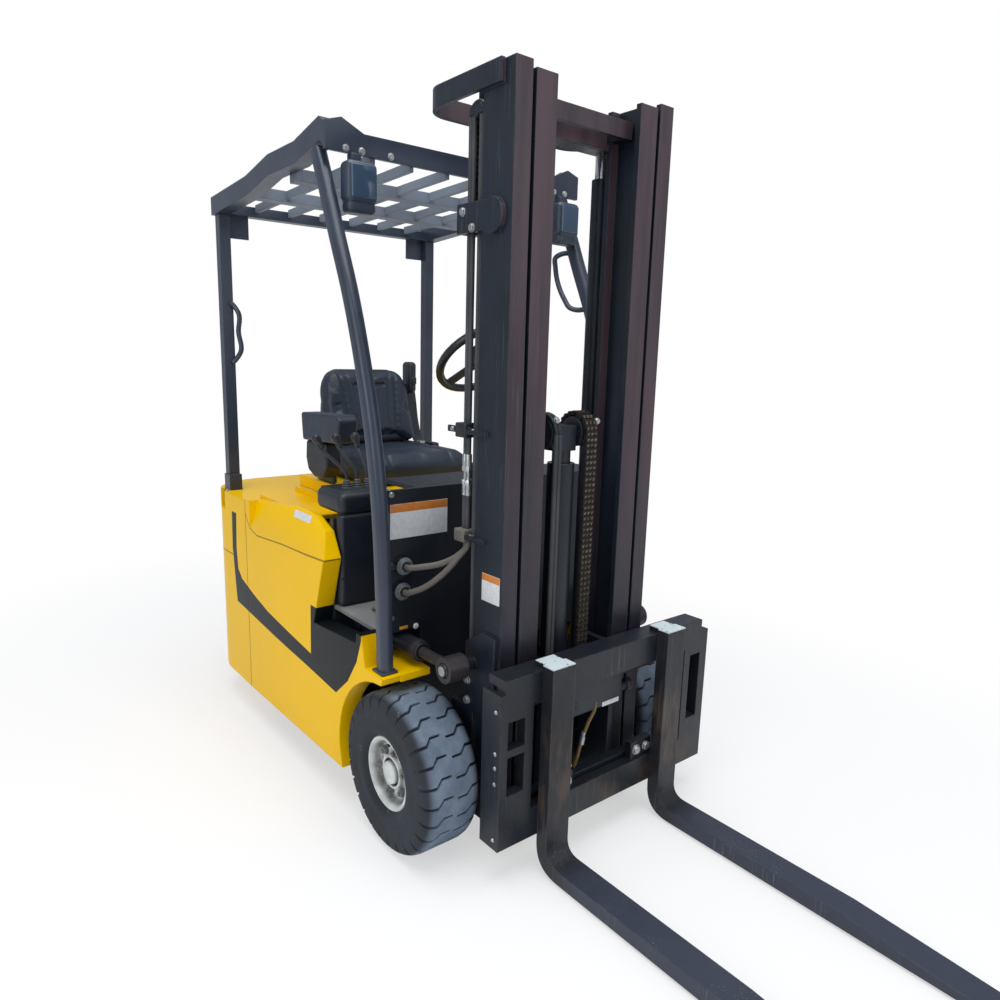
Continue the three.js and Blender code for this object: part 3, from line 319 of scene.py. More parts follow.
def noise(tree, vector, scale, detail=3.0, rough=0.55):
    # fractal noise around 0.5, scale in cells per metre
    return addNode(tree, "ShaderNodeTexNoise",
                   {"Vector": vector, "Scale": scale, "Detail": detail, "Roughness": rough}).outputs["Fac"]


def scaled(tree, vector, sizes):
    # the vector with each axis multiplied by its size
    return addNode(tree, "ShaderNodeVectorMath", {0: vector, 1: sizes}, operation="MULTIPLY").outputs[0]


def newGroup(name, inputs, outputs):
    # an empty node group with its sockets, inputs as (name, kind, start value)
    group = bpy.data.node_groups.new(name, "ShaderNodeTree")
    for label, kind, value in inputs:
        socket = group.interface.new_socket(name=label, in_out="INPUT", socket_type=kind)
        socket.default_value = value
    for label, kind in outputs:
        group.interface.new_socket(name=label, in_out="OUTPUT", socket_type=kind)
    return group, group.nodes.new("NodeGroupInput"), group.nodes.new("NodeGroupOutput")


def useGroup(tree, group, inputs=None):
    # one use of a node group
    node = tree.nodes.new("ShaderNodeGroup")
    node.node_tree = group
    for key, value in (inputs or {}).items():
        if isinstance(value, bpy.types.NodeSocket):
            tree.links.new(value, node.inputs[key])
        else:
            node.inputs[key].default_value = value
    return node


floatKind, vectorKind = "NodeSocketFloat", "NodeSocketVector"


def buildEdgeWear():
    # where the rounded normal leaves the flat one, broken up by noise
    group, given, out = newGroup("edgeWear", [("Radius", floatKind, 0.003), ("Amount", floatKind, 0.5)],
                                 [("Mask", floatKind), ("Normal", vectorKind)])
    soft = addNode(group, "ShaderNodeBevel", {"Radius": given.outputs["Radius"]}, samples=4)
    face = addNode(group, "ShaderNodeNewGeometry")
    turn = addNode(group, "ShaderNodeVectorMath", {0: soft.outputs[0], 1: face.outputs["Normal"]},
                   operation="DOT_PRODUCT")
    bend = calc(group, "SUBTRACT", 1.0, turn.outputs["Value"])
    place = objectPlace(group)
    patch = noise(group, place, 26.0, 5.0, 0.7)
    worn = spread(group, calc(group, "MULTIPLY", bend, spread(group, patch, 0.42, 0.62)), 0.004, 0.06)
    group.links.new(calc(group, "MULTIPLY", worn, given.outputs["Amount"], clamp=True), out.inputs["Mask"])
    group.links.new(soft.outputs[0], out.inputs["Normal"])
    return group


def buildDustAndSky():
    # dust lies on what faces up and in soft patches elsewhere; where the dust colour is bluish, the part on upward
    # faces is painted sky sheen as well
    group, given, out = newGroup("dustAndSkyCover", [("Amount", floatKind, 0.3), ("Scale", floatKind, 6.0)],
                                 [("Mask", floatKind)])
    face = addNode(group, "ShaderNodeNewGeometry")
    upward = spread(group, parts(group, face.outputs["Normal"])[2], 0.3, 0.95)
    place = objectPlace(group)
    patch = spread(group, noise(group, place, given.outputs["Scale"], 6.0, 0.65), 0.4, 0.72)
    both = calc(group, "ADD", calc(group, "MULTIPLY", upward, 0.55), calc(group, "MULTIPLY", patch, 0.6))
    group.links.new(calc(group, "MULTIPLY", both, given.outputs["Amount"], clamp=True), out.inputs["Mask"])
    return group


def buildStreaks():
    # thin scratches that run up and down, gathered in bands
    group, given, out = newGroup("upDownStreaks", [("Amount", floatKind, 0.3), ("Fine", floatKind, 260.0)],
                                 [("Mask", floatKind)])
    place = objectPlace(group)
    fine = given.outputs["Fine"]
    squeeze = addNode(group, "ShaderNodeCombineXYZ", {0: fine, 1: fine, 2: 5.0})
    lines = noise(group, scaled(group, place, squeeze.outputs[0]), 1.0, 3.0, 0.6)
    band = noise(group, scaled(group, place, (9.0, 9.0, 2.2)), 1.0, 3.0, 0.6)
    mask = calc(group, "MULTIPLY", spread(group, lines, 0.56, 0.7), spread(group, band, 0.45, 0.68))
    group.links.new(calc(group, "MULTIPLY", mask, given.outputs["Amount"], clamp=True), out.inputs["Mask"])
    return group


def buildGrain():
    # a fine cell pattern with soft wrinkles, as on vinyl and moulded plastic
    group, given, out = newGroup("skinGrain", [("Scale", floatKind, 900.0)], [("Height", floatKind)])
    place = objectPlace(group)
    wander = addNode(group, "ShaderNodeTexNoise", {"Vector": place, "Scale": 160.0}).outputs["Color"]
    warp = addNode(group, "ShaderNodeVectorMath", {0: place, 1: scaled(group, wander, (0.004, 0.004, 0.004))},
                   operation="ADD").outputs[0]
    cells = addNode(group, "ShaderNodeTexVoronoi", {"Vector": warp, "Scale": given.outputs["Scale"]},
                    feature="DISTANCE_TO_EDGE").outputs["Distance"]
    group.links.new(spread(group, cells, 0.0, 0.35), out.inputs["Height"])
    return group


edgeWear, dustAndSkyCover, upDownStreaks, skinGrain = buildEdgeWear(), buildDustAndSky(), buildStreaks(), buildGrain()


def newMaterial(name):
    # a material with its tree and its shader
    material = bpy.data.materials.new(name)
    material.use_nodes = True
    tree = material.node_tree
    shader = tree.nodes["Principled BSDF"]
    return material, tree, shader


def finishShader(tree, shader, colour, roughness, metallic, height=None, bump=0.2, distance=0.0006, normal=None):
    # joins what varies to the shader, and sets what doesn't
    for value, name in ((colour, "Base Color"), (roughness, "Roughness"), (metallic, "Metallic")):
        if isinstance(value, bpy.types.NodeSocket):
            tree.links.new(value, shader.inputs[name])
        else:
            shader.inputs[name].default_value = value
    if height is not None:
        lift = addNode(tree, "ShaderNodeBump", {"Strength": bump, "Distance": distance, "Height": height})
        if normal is not None:
            tree.links.new(normal, lift.inputs["Normal"])
        tree.links.new(lift.outputs[0], shader.inputs["Normal"])


def shades(colour, below, above):
    # the colour darkened and lightened by a share of itself
    return tuple(tuple(min(1.0, c * share) for c in colour[:3]) + (1,) for share in (1 - below, 1 + above))


def paintMaterial(name, colour, wornColour, dustAndSkyColour, roughness=0.35, edge=0.004, wear=0.6, dust=0.25,
                  streaks=0.0, streakColour=(0.4, 0.4, 0.41, 1), ripple=0.12, mottle=0.12, extra=None,
                  specular=0.5, uneven=1.0):
    # painted metal: base colour with slow mottling, dust (a bluish dust colour also gives painted sky sheen on
    # upward faces), streaks and bare edges
    material, tree, shader = newMaterial(name)
    place = objectPlace(tree)
    slow = spread(tree, noise(tree, place, 3.2, 4.0, 0.6), 0.3, 0.7)
    tone = blendColour(tree, slow, *shades(colour, 2 * mottle, 1.4 * mottle))
    if extra:
        tone = extra(tree, tone, place)
    wearNode = useGroup(tree, edgeWear, {"Radius": edge, "Amount": wear})
    dustAndSkyMask = useGroup(tree, dustAndSkyCover, {"Amount": dust, "Scale": 5.0}).outputs["Mask"]
    tone = blendColour(tree, dustAndSkyMask, tone, dustAndSkyColour)
    patchy = spread(tree, noise(tree, place, 40.0, 4.0), 0.2, 0.8, roughness - 0.06 * uneven,
                    roughness + 0.08 * uneven)
    rough = calc(tree, "ADD", patchy, calc(tree, "MULTIPLY", dustAndSkyMask, 0.45), clamp=True)
    if streaks:
        lines = useGroup(tree, upDownStreaks, {"Amount": streaks, "Fine": 230.0}).outputs["Mask"]
        tone = blendColour(tree, lines, tone, streakColour)
    tone = blendColour(tree, wearNode.outputs["Mask"], tone, wornColour)
    finishShader(tree, shader, tone, rough, 0.0, noise(tree, place, 95.0, 2.0), ripple, 0.0005,
                 wearNode.outputs["Normal"])
    shader.inputs["Specular IOR Level"].default_value = specular
    return material


def beyondLine(tree, x, z, start, end):
    # 1 on the left of the line from start to end, seen with x to the right and z up (millimetres from the axle)
    (x0, z0), (x1, z1) = start, end
    length = math.hypot(x1 - x0, z1 - z0)
    nx, nz = -(z1 - z0) / length, (x1 - x0) / length
    offset = -(nx * (x0 / 1000 + originX) + nz * z0 / 1000)
    value = calc(tree, "ADD", calc(tree, "MULTIPLY", x, nx), calc(tree, "MULTIPLY_ADD", z, nz, offset))
    return calc(tree, "MULTIPLY_ADD", value, 1200.0, 1.0, clamp=True)


def insideAll(tree, x, z, corners):
    # a convex outline, its corners anticlockwise with x to the right
    return product(tree, *[beyondLine(tree, x, z, start, end)
                           for start, end in zip(corners, corners[1:] + corners[:1])])


def nearLine(tree, x, z, corners, width):
    # 1 within width millimetres of a broken line: distance to the nearest point of each of its pieces
    reaches = []
    for (x0, z0), (x1, z1) in zip(corners, corners[1:]):
        span = (x1 - x0) ** 2 + (z1 - z0) ** 2
        dx = calc(tree, "SUBTRACT", x, x0 / 1000 + originX)
        dz = calc(tree, "SUBTRACT", z, z0 / 1000)
        along = calc(tree, "ADD", calc(tree, "MULTIPLY", dx, (x1 - x0) * 1000 / span),
                     calc(tree, "MULTIPLY", dz, (z1 - z0) * 1000 / span), clamp=True)
        ex = calc(tree, "SUBTRACT", dx, calc(tree, "MULTIPLY", along, (x1 - x0) / 1000))
        ez = calc(tree, "SUBTRACT", dz, calc(tree, "MULTIPLY", along, (z1 - z0) / 1000))
        squares = calc(tree, "ADD", calc(tree, "MULTIPLY", ex, ex), calc(tree, "MULTIPLY", ez, ez))
        reaches.append(calc(tree, "SQRT", squares))
    return spread(tree, combined(tree, "MINIMUM", reaches), width * 0.0013, width * 0.0007)


def bodyTone(tree, tone, place):
    # panel gaps as thin dark lines, and the black band on both flanks, made of convex outlines
    x, y, z = parts(tree, place)
    band = [
        [(-1128, 780), (-1135, 640), (-1093, 644), (-1083, 780)],
        [(-1135, 640), (-1110, 465), (-1083, 565), (-1093, 644)],
        [(-1110, 465), (-1047, 534), (-1083, 565)],
        [(-1110, 465), (-1104, 431), (-932, 416.6), (-932, 502), (-1047, 534)],
        [(-932, 416.6), (-797, 405), (-797, 473), (-932, 502)],
        [(-797, 405), (-750, 401), (-646, 393.5), (-646, 455), (-797, 473)],
        [(-646, 393.5), (-488, 384), (-453, 434), (-646, 455)],
        [(-488, 384), (-281, 368), (-453, 434)],
        [(-453, 434), (-281, 368), (-204, 433), (-148, 512), (-121, 582), (-120, 600), (-448, 600)],
    ]
    mask = combined(tree, "MAXIMUM", [insideAll(tree, x, z, corners) for corners in band])
    flank = spread(tree, calc(tree, "ABSOLUTE", y), 0.43, 0.431)
    gaps = [[(-989, 799), (-951, 752), (-882, 735), (-650, 751), (-468, 757), (-316, 765)],
            [(-989, 122), (-989, 842)], [(-1440, 610), (-1136, 610)]]
    line = combined(tree, "MAXIMUM", [nearLine(tree, x, z, corners, 2.6) for corners in gaps])
    tone = blendColour(tree, calc(tree, "MULTIPLY", line, 0.75), tone, (0.12, 0.06, 0.002, 1))
    return blendColour(tree, calc(tree, "MULTIPLY", mask, flank), tone, (0.008, 0.011, 0.013, 1))


yellowPaint = paintMaterial("yellowPaint", (0.88, 0.52, 0.0005, 1), (0.5, 0.33, 0.03, 1), (0.55, 0.38, 0.1, 1),
                            roughness=0.28, edge=0.006, wear=0.0, dust=0.0, ripple=0.0, mottle=0.012,
                            extra=bodyTone, specular=0.08, uneven=0.0)
# painted sky reflection: the bluish tint of these black base colours and of their dust colours
blackPaint = paintMaterial("blackPaint", (0.012, 0.016, 0.024, 1), (0.09, 0.09, 0.1, 1), (0.06, 0.075, 0.095, 1),
                           roughness=0.34, edge=0.005, wear=0.3, dust=0.14, ripple=0.08, specular=0.4)
guardPaint = paintMaterial("guardPaint", (0.026, 0.037, 0.06, 1), (0.12, 0.13, 0.15, 1), (0.1, 0.13, 0.17, 1),
                           roughness=0.3, edge=0.004, wear=0.05, dust=0.1, ripple=0.0, uneven=0.3)
slatPaint = paintMaterial("slatPaint", (0.15, 0.18, 0.225, 1), (0.05, 0.05, 0.055, 1), (0.3, 0.34, 0.4, 1),
                          roughness=0.5, edge=0.003, wear=0.3, dust=0.5)


def mastTone(tree, tone, place):
    # the rolled faces are worn brown where rollers and chains rub, more so higher up
    face = addNode(tree, "ShaderNodeNewGeometry")
    frontward = spread(tree, calc(tree, "ABSOLUTE", parts(tree, face.outputs["Normal"])[0]), 0.6, 0.95)
    high = spread(tree, parts(tree, place)[2], 0.45, 1.35, 0.15, 1.0)
    band = spread(tree, noise(tree, scaled(tree, place, (14.0, 14.0, 1.4)), 1.0, 4.0), 0.3, 0.7)
    brown = product(tree, frontward, high, calc(tree, "MULTIPLY_ADD", band, 0.55, 0.4))
    return blendColour(tree, brown, tone, (0.084, 0.053, 0.062, 1))


# painted sky reflection: the bluish tint of the mast's base colour and dust colour
mastPaint = paintMaterial("mastPaint", (0.009, 0.014, 0.023, 1), (0.11, 0.1, 0.11, 1), (0.045, 0.055, 0.07, 1),
                          roughness=0.36, edge=0.004, wear=0.25, dust=0.12, streaks=0.4,
                          streakColour=(0.16, 0.155, 0.165, 1), extra=mastTone, specular=0.35)


def forkTone(tree, tone, place):
    # bare rubbed steel on the shank and blade, rust near the heel and pale paint on top of the shank
    x, _, z = parts(tree, place)
    blade = spread(tree, x, originX + 0.39, originX + 0.5)
    tone = blendColour(tree, calc(tree, "MULTIPLY", blade, 0.8), tone, (0.036, 0.046, 0.072, 1))
    patches = spread(tree, noise(tree, scaled(tree, place, (24.0, 24.0, 7.0)), 1.0, 5.0), 0.42, 0.66)
    rust = calc(tree, "MULTIPLY", patches, product(tree, spread(tree, z, 0.1, 0.2), spread(tree, z, 0.5, 0.34)))
    tone = blendColour(tree, calc(tree, "MULTIPLY", rust, 0.7), tone, (0.085, 0.058, 0.042, 1))
    cap = calc(tree, "MULTIPLY", spread(tree, z, 0.5965, 0.5985),
               spread(tree, noise(tree, place, 60.0, 4.0), 0.3, 0.42))
    return blendColour(tree, cap, tone, (0.66, 0.76, 0.78, 1))


forkSteel = paintMaterial("forkSteel", (0.016, 0.017, 0.022, 1), (0.16, 0.14, 0.13, 1), (0.06, 0.06, 0.075, 1),
                          roughness=0.4, edge=0.003, wear=0.4, dust=0.12, streaks=0.25, extra=forkTone,
                          specular=0.35)


def frameTone(tree, tone, place):
    # rust and mud low on the fork frame
    z = parts(tree, place)[2]
    low = calc(tree, "MULTIPLY", spread(tree, z, 0.24, 0.12),
               spread(tree, noise(tree, place, 9.0, 6.0, 0.7), 0.46, 0.7))
    return blendColour(tree, calc(tree, "MULTIPLY", low, 0.7), tone, (0.07, 0.042, 0.02, 1))


framePaint = paintMaterial("framePaint", (0.011, 0.014, 0.02, 1), (0.12, 0.1, 0.09, 1), (0.05, 0.057, 0.07, 1),
                           roughness=0.38, edge=0.004, wear=0.35, dust=0.07, streaks=0.12, extra=frameTone,
                           specular=0.4)


def grainMaterial(name, colour, dustAndSkyColour, roughness, scale, bump, dust, edge=0.003):
    # moulded plastic or vinyl: fine cells over slow mottling
    material, tree, shader = newMaterial(name)
    place = objectPlace(tree)
    slow = spread(tree, noise(tree, place, 4.0, 4.0, 0.6), 0.3, 0.7)
    tone = blendColour(tree, slow, *shades(colour, 0.1, 0.1))
    # dust on upward faces and in patches; a bluish dust colour here is painted sky sheen as well
    dustAndSkyMask = useGroup(tree, dustAndSkyCover, {"Amount": dust, "Scale": 7.0}).outputs["Mask"]
    tone = blendColour(tree, dustAndSkyMask, tone, dustAndSkyColour)
    patchy = spread(tree, noise(tree, place, 30.0, 4.0), 0.2, 0.8, roughness - 0.05, roughness + 0.07)
    rough = calc(tree, "ADD", patchy, calc(tree, "MULTIPLY", dustAndSkyMask, 0.3), clamp=True)
    cells = useGroup(tree, skinGrain, {"Scale": scale}).outputs["Height"]
    soft = useGroup(tree, edgeWear, {"Radius": edge, "Amount": 0.0}).outputs["Normal"]
    finishShader(tree, shader, tone, rough, 0.0, cells, bump, 0.0003, soft)
    return material


# painted sky reflection: the bluish tint of these dark base colours and of their dust colours
blackPlastic = grainMaterial("blackPlastic", (0.008, 0.011, 0.018, 1), (0.05, 0.062, 0.08, 1), 0.42, 1500.0, 0.15,
                             0.14, edge=0.008)
cowlPlastic = grainMaterial("cowlPlastic", (0.005, 0.008, 0.014, 1), (0.03, 0.037, 0.05, 1), 0.5, 1300.0, 0.15,
                            0.1)
seatVinyl = grainMaterial("seatVinyl", (0.011, 0.02, 0.037, 1), (0.05, 0.075, 0.115, 1), 0.4, 700.0, 0.25, 0.16)
lampPlastic = grainMaterial("lampPlastic", (0.022, 0.034, 0.056, 1), (0.08, 0.1, 0.13, 1), 0.34, 1400.0, 0.08,
                            0.12, edge=0.006)
matRubber = grainMaterial("matRubber", (0.14, 0.145, 0.15, 1), (0.3, 0.3, 0.3, 1), 0.75, 260.0, 0.6, 0.6)
hoseRubber = grainMaterial("hoseRubber", (0.03, 0.034, 0.04, 1), (0.16, 0.15, 0.14, 1), 0.55, 1800.0, 0.2, 0.35)
taupeHose = grainMaterial("taupeHose", (0.1, 0.088, 0.078, 1), (0.25, 0.23, 0.2, 1), 0.6, 1600.0, 0.25, 0.5)
brassHose = grainMaterial("brassHose", (0.19, 0.12, 0.03, 1), (0.2, 0.16, 0.09, 1), 0.5, 1600.0, 0.2, 0.4)
greyPlastic = grainMaterial("greyPlastic", (0.12, 0.13, 0.14, 1), (0.25, 0.25, 0.25, 1), 0.5, 1200.0, 0.15, 0.3)


def buildTyreRubber():
    # worn rubber: dusty bluish tread, darker flanks
    material, tree, shader = newMaterial("tyreRubber")
    place = objectPlace(tree)
    tread = addNode(tree, "ShaderNodeAttribute", attribute_name="tread").outputs["Fac"]
    slow = spread(tree, noise(tree, place, 11.0, 6.0, 0.65), 0.32, 0.7)
    flank = blendColour(tree, slow, (0.01, 0.013, 0.018, 1), (0.027, 0.034, 0.045, 1))
    crown = blendColour(tree, slow, (0.1, 0.135, 0.185, 1), (0.18, 0.23, 0.3, 1))
    tone = blendColour(tree, tread, flank, crown)
    scuff = spread(tree, noise(tree, place, 34.0, 8.0, 0.75), 0.6, 0.72)
    tone = blendColour(tree, calc(tree, "MULTIPLY", scuff, 0.4), tone, (0.33, 0.34, 0.36, 1))
    height = calc(tree, "ADD", noise(tree, place, 240.0, 4.0, 0.7), calc(tree, "MULTIPLY", scuff, -0.6))
    finishShader(tree, shader, tone, spread(tree, slow, 0.0, 1.0, 0.78, 0.92), 0.0, height, 0.4, 0.0008)
    return material


def buildRimPaint():
    # off-white paint with patchy dirt, heavier further in, painted shade rings in the hub gap and the well, and
    # small rust chips
    material, tree, shader = newMaterial("rimPaint")
    place = objectPlace(tree)
    depth = calc(tree, "ABSOLUTE", parts(tree, place)[1])
    dirt = calc(tree, "MULTIPLY", spread(tree, noise(tree, place, 22.0, 6.0, 0.7), 0.38, 0.62),
                spread(tree, depth, 0.487, 0.45, 0.25, 1.0))
    slow = spread(tree, noise(tree, place, 7.0, 3.0), 0.3, 0.7)
    tone = blendColour(tree, slow, (0.5, 0.54, 0.53, 1), (0.68, 0.71, 0.69, 1))
    tone = blendColour(tree, dirt, tone, (0.09, 0.085, 0.07, 1))
    hubPlace = addNode(tree, "ShaderNodeVectorMath", {0: place, 1: (originX, 0.0, axleHeight)},
                       operation="SUBTRACT")
    flat = scaled(tree, hubPlace.outputs[0], (1.0, 0.0, 1.0))
    fromAxle = addNode(tree, "ShaderNodeVectorMath", {0: flat}, operation="LENGTH").outputs["Value"]
    # painted shade: dark rings in the gap round the hub and in the well inside the lip
    gapShade = product(tree, spread(tree, fromAxle, 0.0325, 0.0335), spread(tree, fromAxle, 0.0405, 0.0395))
    wellShade = product(tree, spread(tree, fromAxle, 0.072, 0.084), spread(tree, fromAxle, 0.0935, 0.0895))
    grimeAndShade = calc(tree, "MAXIMUM", gapShade, calc(tree, "MULTIPLY", wellShade, 0.75))
    tone = blendColour(tree, calc(tree, "MULTIPLY", grimeAndShade, 0.85), tone, (0.07, 0.068, 0.06, 1))
    chips = spread(tree, noise(tree, place, 130.0, 5.0, 0.8), 0.64, 0.7)
    tone = blendColour(tree, chips, tone, (0.08, 0.05, 0.03, 1))
    soft = useGroup(tree, edgeWear, {"Radius": 0.002, "Amount": 0.0}).outputs["Normal"]
    finishShader(tree, shader, tone, spread(tree, dirt, 0.0, 1.0, 0.4, 0.75), 0.0, noise(tree, place, 160.0, 3.0),
                 0.25, 0.0005, soft)
    return material


def steelMaterial(name, colour, roughness, dirtColour, dirt, brushed=0.3, metallic=1.0):
    # bare metal with brushed lines and dark grime
    material, tree, shader = newMaterial(name)
    place = objectPlace(tree)
    lines = noise(tree, scaled(tree, place, (300.0, 300.0, 30.0)), 1.0, 3.0)
    grimeAndShade = calc(tree, "MULTIPLY", spread(tree, noise(tree, place, 28.0, 6.0, 0.7), 0.4, 0.68), dirt)
    tone = blendColour(tree, grimeAndShade, colour, dirtColour)
    soft = useGroup(tree, edgeWear, {"Radius": 0.0015, "Amount": 0.0}).outputs["Normal"]
    finishShader(tree, shader, tone, spread(tree, grimeAndShade, 0.0, 1.0, roughness, min(0.95, roughness + 0.35)),
                 spread(tree, grimeAndShade, 0.0, 1.0, metallic, metallic * 0.3), lines, brushed, 0.0003, soft)
    return material


def buildChainSteel():
    # oiled dark links with tan spots at the link ends, partly rubbed wear and partly painted highlight: sin(2 pi z
    # / pitch) up the chain times sin(2 pi y / 14 mm) across
    material, tree, shader = newMaterial("chainSteel")
    place = objectPlace(tree)
    _, y, z = parts(tree, place)
    rows = calc(tree, "SINE", calc(tree, "MULTIPLY", z, 2 * math.pi / 0.0159))
    columns = calc(tree, "SINE", calc(tree, "MULTIPLY", y, 2 * math.pi / 0.014))
    rubbed = spread(tree, noise(tree, place, 60.0, 4.0, 0.7), 0.35, 0.6, 0.25, 1.0)
    grid = product(tree, spread(tree, rows, -0.3, 0.5), spread(tree, columns, -0.4, 0.3))
    # painted highlight mixed with rubbed wear: tan spots at each link end
    rubAndGlintSpots = calc(tree, "MULTIPLY", rubbed, grid)
    tone = blendColour(tree, rubAndGlintSpots, (0.018, 0.014, 0.013, 1), (0.27, 0.2, 0.14, 1))
    finishShader(tree, shader, tone, spread(tree, rubAndGlintSpots, 0.0, 1.0, 0.6, 0.42), 0.35)
    return material


tyreRubber, rimPaint = buildTyreRubber(), buildRimPaint()
chromeRod = steelMaterial("chromeRod", (0.62, 0.63, 0.65, 1), 0.16, (0.1, 0.09, 0.08, 1), 0.4, 0.1)
zincSteel = steelMaterial("zincSteel", (0.5, 0.52, 0.52, 1), 0.35, (0.12, 0.11, 0.1, 1), 0.5)
dullZinc = steelMaterial("dullZinc", (0.24, 0.25, 0.24, 1), 0.5, (0.06, 0.055, 0.045, 1), 0.8, 0.2, 0.6)
chainSteel = buildChainSteel()
darkSteel = steelMaterial("darkSteel", (0.045, 0.04, 0.045, 1), 0.45, (0.03, 0.024, 0.02, 1), 0.6, 0.3, 0.5)
wheelPlastic = grainMaterial("wheelPlastic", (0.006, 0.008, 0.012, 1), (0.03, 0.035, 0.045, 1), 0.3, 1500.0, 0.1,
                             0.1, edge=0.005)


def plainMaterial(name, colour, roughness, variation=0.06):
    # printed or moulded, with a faint patchiness
    material, tree, shader = newMaterial(name)
    place = objectPlace(tree)
    slow = spread(tree, noise(tree, place, 60.0, 5.0, 0.7), 0.3, 0.7)
    finishShader(tree, shader, blendColour(tree, slow, *shades(colour, 2 * variation, variation)),
                 spread(tree, slow, 0.0, 1.0, roughness, roughness + 0.1), 0.0, noise(tree, place, 300.0, 2.0),
                 0.06, 0.0003)
    return material


labelWhite = plainMaterial("labelWhite", (0.66, 0.67, 0.68, 1), 0.35)
labelOrange = plainMaterial("labelOrange", (0.62, 0.2, 0.03, 1), 0.4)
amberMarker = plainMaterial("amberMarker", (0.75, 0.36, 0.05, 1), 0.35)
knobWhite = plainMaterial("knobWhite", (0.75, 0.76, 0.76, 1), 0.3)
batteryGrey = plainMaterial("batteryGrey", (0.12, 0.125, 0.13, 1), 0.5, 0.15)
print("materials made:", len(bpy.data.materials))

# CAD nodes: their materials, and normals that run smoothly over round parts

looks = {
    yellowPaint: ["counterweight", "side_panel_right", "side_panel_left", "battery_hood"],
    blackPaint: ["chassis_frame", "drive_axle", "steer_knuckle", "lift_carriage", "crosshead",
                 "tilt_barrel_right", "tilt_barrel_left", "free_lift_barrel", "lift_barrel_right",
                 "lift_barrel_left"],
    guardPaint: ["guard_roof", "guard_leg_front_right", "guard_leg_front_left", "guard_leg_rear_right",
                 "guard_leg_rear_left"],
    slatPaint: ["roof_grille"],
    mastPaint: ["mast_outer", "mast_middle", "mast_inner"],
    framePaint: ["sideshift_frame"],
    forkSteel: ["fork_right", "fork_left"],
    cowlPlastic: ["front_cowl"],
    blackPlastic: ["steering_column", "armrest_box"],
    wheelPlastic: ["steering_wheel"],
    matRubber: ["floor_plate"],
    lampPlastic: ["work_lamp_right", "work_lamp_left"],
    rimPaint: ["rear_hub"],
    batteryGrey: ["battery"],
    chromeRod: ["lift_rod_right", "lift_rod_left"],
    darkSteel: ["tilt_rod_right", "tilt_rod_left"],
    zincSteel: ["hose_fittings"],
}
for material, names in looks.items():
    for name in names:
        node = nodes[name]
        node.data.materials.clear()
        node.data.materials.append(material)
        node.data.shade_smooth()
        weld = node.modifiers.new("weld", "WELD")
        weld.merge_threshold = 0.00002
        split = node.modifiers.new("split", "EDGE_SPLIT")
        split.split_angle = math.radians(32)
        flat = node.modifiers.new("flat", "WEIGHTED_NORMAL")
        flat.weight, flat.keep_sharp = 100, True
print("nodes dressed")

# wheels

tyreLook = {
    "grooveDepth": 9.0, "grooveWidth": 6.5,
    "front": {"rim": 106.5, "flank": 74, "lugs": 26, "around": 572, "across": 46},
    "rear": {"rim": 102.5, "flank": 60, "lugs": 22, "around": 352, "across": 24},
}


def treadedTyre(name, node, body, size):
    # a tyre profile turned round the axle, its crown lowered along stepped grooves from each shoulder
    low, high = boxMm(node)
    centre = (low + high) / 2
    radius, half = (high[2] - low[2]) / 2, (high[1] - low[1]) / 2
    rimEdge, lugs, around = size["rim"], size["lugs"], size["around"]
    outline = smoothLine([
        [rimEdge, -half + 12], [rimEdge + 9, -half + 3], [radius - size["flank"], -half + 1.5],
        [radius - 34, -half + 0.5], [radius - 15, -half + 5], [radius - 4, -half + 17], [radius, -half + 34]], 22)
    crown = np.linspace(-half + 34, half - 34, size["across"])[1:-1]
    crownPoints = np.stack([np.full(len(crown), float(radius)), crown], 1)
    profile = np.concatenate([outline, crownPoints, outline[::-1] * [1, -1]])
    angle = np.arange(around) * 2 * math.pi / around
    y, r = profile[None, :, 1], profile[None, :, 0]
    u = np.abs(y) / half
    step = 2 * math.pi / lugs
    shift = 0.34 * (1 - np.clip((u - 0.42) / 0.2, 0, 1)) * step
    start = np.where(y > 0, 0.0, 0.5) * step
    off = (angle[:, None] - start - shift * np.sign(y + 1e-6) + step / 2) % step - step / 2
    width = tyreLook["grooveWidth"] * (0.75 + 0.5 * np.clip(u, 0, 1))
    near = 1 - np.clip((np.abs(off) * radius - width / 2) / 2.2 + 0.5, 0, 1)
    reach = np.clip((u - 0.08) / 0.03, 0, 1) * np.clip((r - (radius - 44)) / 8, 0, 1)
    groove = near * near * (3 - 2 * near) * reach
    ring = 0.9 * np.exp(-((r - radius + 52) / 2.5) ** 2) + 0.7 * np.exp(-((r - rimEdge - 14) / 3.0) ** 2)
    lowered = r - groove * tyreLook["grooveDepth"] * np.clip((r - radius + 44) / 34, 0, 1)
    yy = np.clip(y, -half, half) - np.sign(y) * (groove * 2.2 + ring) * (u > 0.9)
    points = np.stack([centre[0] + lowered * np.sin(angle)[:, None], centre[1] + yy + 0 * angle[:, None],
                       centre[2] + lowered * np.cos(angle)[:, None]], -1)
    cols = len(profile)
    piece = makePiece(name, (points.reshape(-1, 3), gridFaces(around, cols, wrapRows=True, wrapCols=True)),
                      tyreRubber, body, smooth=38)
    places = vertexPlaces(piece.data) * 1000 - [originX * 1000, 0, 0] - centre
    far = np.hypot(places[:, 0], places[:, 2])
    mask = np.clip((far - radius + 11) / 11, 0, 1) ** 1.5 * np.clip((half - np.abs(places[:, 1])) / 16, 0, 1)
    attribute = piece.data.attributes.new("tread", "FLOAT", "POINT")
    attribute.data.foreach_set("value", mask.astype(np.float32))
    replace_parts(piece, node)


for side in ("right", "left"):
    treadedTyre(f"frontTyre_{side}", f"front_tyre_{side}", f"front_wheel_{side}", tyreLook["front"])
    treadedTyre(f"rearTyre_{side}", f"rear_tyre_{side}", "rear_wheels", tyreLook["rear"])

rimLook = {"bolts": 6, "boltCircle": 64, "nut": 21, "seat": 27, "valve": 84}


